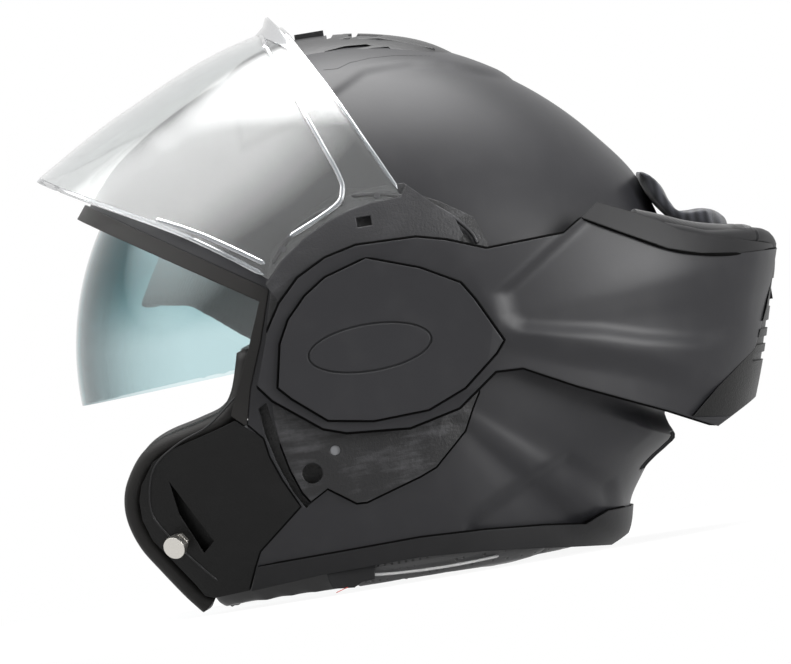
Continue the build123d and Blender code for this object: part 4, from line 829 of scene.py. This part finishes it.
def weldedCopy(name, nodeName, voxel, extras=()):
    # one closed skin over the maker's plain solid and any extra closed meshes, evenly divided
    whole = bmesh.new()
    whole.from_mesh(nodes[nodeName].data)
    bmesh.ops.remove_doubles(whole, verts=whole.verts, dist=0.02 * mm)
    for extra in extras:
        whole.from_mesh(extra)
        bpy.data.meshes.remove(extra)
    mesh = bpy.data.meshes.new(name)
    whole.to_mesh(mesh)
    whole.free()
    piece = freshObject(name, mesh)
    divide = piece.modifiers.new("divide", "REMESH")
    divide.mode, divide.voxel_size = "VOXEL", voxel
    settle(piece)
    return piece


swelling = {"pressure": 4, "quality": 4, "frames": 20, "overFloor": 0.2 * mm}


def inflate(piece, shrink, cap):
    # lets the cloth swell like foam under a cover, but no further than cap
    start = [v.co - v.normal * shrink for v in piece.data.vertices]
    for v, place in zip(piece.data.vertices, start):
        v.co = place
    piece.data.update()
    cloth = piece.modifiers.new("cover", "CLOTH")
    cloth.settings.use_pressure = True
    cloth.settings.uniform_pressure_force = swelling["pressure"]
    cloth.settings.effector_weights.gravity = 0
    cloth.settings.quality = swelling["quality"]
    cloth.point_cache.frame_end = swelling["frames"]
    for frameNumber in range(1, swelling["frames"] + 1):
        bpy.context.scene.frame_set(frameNumber)
    swollen = piece.evaluated_get(bpy.context.evaluated_depsgraph_get()).data
    ends = [v.co.copy() for v in swollen.vertices]
    piece.modifiers.clear()
    bpy.context.scene.frame_set(1)
    for v, place, end in zip(piece.data.vertices, start, ends):
        move = end - place
        v.co = place + (move.normalized() * min(move.length, cap) if move.length > 0 else move)
    piece.data.update()
    smooth = piece.modifiers.new("round", "SUBSURF")
    smooth.levels = smooth.render_levels = 1
    settle(piece)
    for v in piece.data.vertices:
        v.co.z = max(v.co.z, cadBox[0].z + swelling["overFloor"])


def paddedPiece(name, nodeName, values, finish, body, extras=()):
    piece = weldedCopy(name, nodeName, values["voxel"], extras)
    inflate(piece, values["shrink"], values["cap"])
    finishPiece(piece, finish, body, [nodeName], 60)


chinCurtain = {"voxel": 3 * mm, "shrink": 0.6 * mm, "cap": 1.8 * mm, "fill": 0.5}
cheekPads = {"voxel": 4 * mm, "shrink": 2.4 * mm, "cap": 2.6 * mm, "fill": 0.8}
# The wing is the front end of the neck pad beside the cheek pad. Its places, and those of the piping and the thread,
# are in millimetres (behind the pivot, off the middle, over the floor).
neckPad = {
    "voxel": 4 * mm, "shrink": 2.2 * mm, "cap": 2.4 * mm, "fill": 0.7,
    "wing": [(-29, 91, 10.8), (-12, 92.5, 10.6), (10, 92, 10.6), (32, 88, 10.8), (52, 80, 11), (68, 71, 12)],
    "wingHalf": (8.5, 11.6),
    "piping": [(-27, 99.6, 8.0), (-12, 100.6, 5.8), (8, 99.8, 4.6), (26, 97.0, 4.4), (44, 90.6, 5.0)],
    "tab": shares((-261, -690), (-98, -690), (-109, -745), (-152, -748), (-178, -762), (-246, -755), (-256, -731)),
    "tabSpan": (101.4 * mm, 102.6 * mm), "thread": [(-29, 103.2, 2.6), (-35, 103.2, 0.8)], "cordRadius": 0.7 * mm,
}


def neckLine(name, mark):
    return [Vector((pivot.x + x * mm, mark * y * mm, cadBox[0].z + z * mm)) for x, y, z in neckPad[name]]


def neckPiece():
    halfWide, halfHigh = neckPad["wingHalf"]
    wings = [tubeMesh("wing", smoothLine(neckLine("wing", mark), 6), halfWide * mm, 16, halfHigh / halfWide)
             for mark in (-1, 1)]
    paddedPiece("neckRollCover", "neck_roll", neckPad, "perforatedLeather", "helmet", wings)
    for side, mark in sides.items():
        radius = neckPad["cordRadius"]
        beadPiece("neckPiping" + side, smoothLine(neckLine("piping", mark), 8), radius, "pipingCord", "helmet",
                  "neck_roll")
        beadPiece("neckThread" + side, neckLine("thread", mark), radius, "redThread", "helmet", "neck_roll")
        tab = barMesh(neckPad["tab"], *sorted(mark * y for y in neckPad["tabSpan"]))
        finishPiece(freshObject("liningTab" + side, tab), "rimRubber", "helmet")


# The straps' middle lines, in millimetres (off the middle, above the pivot), down from the anchor to the buckle.
straps = {
    "width": 20 * mm, "thickness": 1.6 * mm, "behindPivot": 20.0 * mm,
    "Left": [(82.7, -19.0), (82.7, -35.0), (79.0, -58.4), (56.2, -81.0), (17.8, -87.6)],
    "Right": [(82.7, -19.0), (82.7, -35.0), (79.0, -58.4), (58.5, -80.2), (31.8, -87.6)],
    # the webbing's section, in shares of the half width and half thickness
    "section": ((-1, -0.4), (-0.96, -1), (0.96, -1), (1, -0.4), (1, 0.4), (0.96, 1), (-0.96, 1), (-1, 0.4)),
}


def strapPiece(side):
    line = smoothLine([Vector((straps["behindPivot"], sides[side] * y * mm, z * mm)) for y, z in straps[side]], 10)
    corners, halfWide, halfThick = [], straps["width"] / 2, straps["thickness"] / 2
    for i, here in enumerate(line):
        out = direction(line, i).cross(Vector((1, 0, 0)))
        for across, up in straps["section"]:
            corners.append(pivot + here + Vector((across * halfWide, 0, 0)) + out * up * halfThick)
    ribbon = freshObject("chinStrap" + side, ringMesh("chinStrap", corners, len(straps["section"])))
    finishPiece(ribbon, "webbing", "helmet", ["chin_strap_" + side.lower()], 50)


crownPad = {"voxel": 3 * mm, "fill": 0.5, "rounds": 3}


def crownPiece():
    piece = weldedCopy("crownComfortLiner", "crown_liner", crownPad["voxel"])
    soften = piece.modifiers.new("soften", "SMOOTH")
    soften.iterations = crownPad["rounds"]
    settle(piece)
    finishPiece(piece, "brushedTextile", "helmet", ["crown_liner"], 60)


jawLining = {
    "radius": 4.6 * mm, "inset": 7 * mm, "fill": 0.8,
    "line": shares((-395, 60), (-440, -80), (-500, -150), (-590, -180), (-700, -206), (-770, -245), (-822, -315),
        (-842, -375), (-840, -440), (-815, -515), (-768, -590), (-700, -690), (-650, -752)),
}


def jawEdgeLining(side):
    # the padded edge of the lining that shows in front of the jaw
    points = surfaceLine(jawLining["line"], sides[side], shellCurve, helmet["shellHalfWidth"], -jawLining["inset"])
    piece = beadPiece("jawEdgeLining" + side, smoothLine(points, 6), jawLining["radius"], "browRubber", "helmet",
                      "eyeport_seal", 14, 70)


for side in sides:
    paddedPiece("cheekPad" + side, "cheek_pad_" + side.lower(), cheekPads, "smoothLeather", "helmet")
    jawEdgeLining(side)
print("cheek pads padded")
neckPiece()
crownPiece()
paddedPiece("chinCurtainKnit", "chin_curtain", chinCurtain, "ribbedKnit", "chin_bar")
print("neck roll, crown liner and chin curtain padded")
for side in sides:
    strapPiece(side)

look = {"roll": 9.5, "around": 0.0, "above": 0.5, "distance": 8.0, "mmPerPixel": 0.48, "pivotPixel": (370, 345),
        "image": (791, 664), "sensor": 36.0, "clip": (0.5, 60)}


def placeCamera():
    around, above, roll = (math.radians(look[k]) for k in ("around", "above", "roll"))
    back = Vector((math.sin(around) * math.cos(above), -math.cos(around) * math.cos(above), math.sin(above)))
    level = (-back).cross(Vector((0, 0, 1))).normalized()
    up = level.cross(-back).normalized()
    rightSide = level * math.cos(roll) - up * math.sin(roll)
    upSide = level * math.sin(roll) + up * math.cos(roll)
    pixel = look["mmPerPixel"] * mm
    centre = pivot + rightSide * (look["image"][0] / 2 - look["pivotPixel"][0]) * pixel
    centre -= upSide * (look["image"][1] / 2 - look["pivotPixel"][1]) * pixel
    data = bpy.data.cameras.new("photoView")
    data.sensor_width = look["sensor"]
    data.lens = look["sensor"] * look["distance"] / (look["image"][0] * pixel)
    data.clip_start, data.clip_end = look["clip"]
    camera = freshObject("photoView", data)
    turn = Matrix((rightSide, upSide, back)).transposed().to_4x4()
    camera.matrix_world = Matrix.Translation(centre + back * look["distance"]) @ turn
    bpy.context.scene.camera = camera


studio = {"floorSize": 30, "floorBelow": 0.5 * mm, "floorColour": "#e6e6e6", "whiteShare": 0.92,
          "shadowReach": (0.2, 0.5), "roomLevel": 0.2}


def whiteRays(add):
    # 1 for rays from the camera, off mirrors and through clear pieces
    path = add("LightPath").outputs
    clear = add("Math", {"operation": "MAXIMUM"}, {0: path["Is Glossy Ray"], 1: path["Is Transmission Ray"]})
    return add("Math", {"operation": "MAXIMUM"}, {0: path["Is Camera Ray"], 1: clear})


def whiteForView(add, place, shader):
    # the camera, mirrors and clear pieces see a plain white room; other light sees the real floor
    # near the object, where its shadow lies, and a blank white sheet further off
    away = add("VectorMath", {"operation": "LENGTH"}, {0: place}).outputs["Value"]
    near, far = studio["shadowReach"]
    share = add("MapRange", {"From Min": near, "From Max": far, "To Min": studio["whiteShare"]}, {"Value": away})
    amount = add("Math", {"operation": "MULTIPLY"}, {0: whiteRays(add), 1: share})
    white = add("Emission", {"Color": (1, 1, 1, 1), "Strength": 1.0})
    return add("MixShader", None, {0: amount, 1: shader, 2: white})


def buildStage():
    half = studio["floorSize"] / 2
    corners = [(x * half, y * half, 0) for x, y in ((-1, -1), (1, -1), (1, 1), (-1, 1))]
    floor = freshObject("studioFloor", meshOf("studioFloor", corners, [(0, 1, 2, 3)]))
    floor.location.z = cadBox[0].z - studio["floorBelow"]
    material, add, place = startMaterial("paleSweep")
    paper = add("BsdfPrincipled", {"Base Color": linear(studio["floorColour"]), "Roughness": 0.8})
    floor.data.materials.append(endMaterial(material, whiteForView(add, place, paper)))
    world = bpy.data.worlds.new("studioRoom")
    bpy.context.scene.world = world
    add = startTree(world)
    level = add("MapRange", {"To Min": studio["roomLevel"]}, {"Value": whiteRays(add)})
    room = add("Background", {"Color": (1, 1, 1, 1)}, {"Strength": level})
    add("OutputWorld", links={"Surface": room})


lamps = {
    "overheadSoftbox": {"place": (0.2, 0.1, 1.6), "size": (2.4, 2.0), "power": 112},
    "frontLeftSoftbox": {"place": (-0.95, -0.5, 1.5), "size": (3.2, 3.0), "power": 80},
    "rearSideSoftbox": {"place": (1.45, -1.2, 0.32), "size": (1.5, 1.5), "power": 92},
}
softRim = {"slope": 3.0, "most": 1.7}  # how steeply a lamp's light rises from its rim, and where it levels off


def hangLamps():
    for name, lamp in lamps.items():
        data = bpy.data.lights.new(name, "AREA")
        data.shape = "RECTANGLE"
        data.size, data.size_y = lamp["size"]
        data.energy = lamp["power"]
        # even in the middle and fading to nothing at the rim, so its reflections have no hard border
        add = startTree(data)
        place = add("TexCoord").outputs["UV"]
        centred = add("Mapping", {"Location": (-1, -1, 0), "Scale": (2, 2, 0)}, {"Vector": place})
        fade = add("TexGradient", {"gradient_type": "SPHERICAL"}, {"Vector": centred}).outputs["Fac"]
        level = add("Math", {"operation": "MULTIPLY", 1: softRim["slope"]}, {0: fade})
        even = add("Math", {"operation": "MINIMUM", 1: softRim["most"]}, {0: level})
        glow = add("Emission", {"Color": (1, 1, 1, 1)}, {"Strength": even})
        add("OutputLight", links={"Surface": glow})
        box = freshObject(name, data)
        box.location = Vector(lamp["place"]) + Vector((pivot.x, 0, 0))
        box.rotation_mode = "QUATERNION"
        box.rotation_quaternion = (pivot - box.location).to_track_quat("-Z", "Y")
        box.visible_camera = False


placeCamera()
buildStage()
hangLamps()
bpy.context.scene.view_settings.view_transform = "Standard"
print("camera, stage and lamps placed")
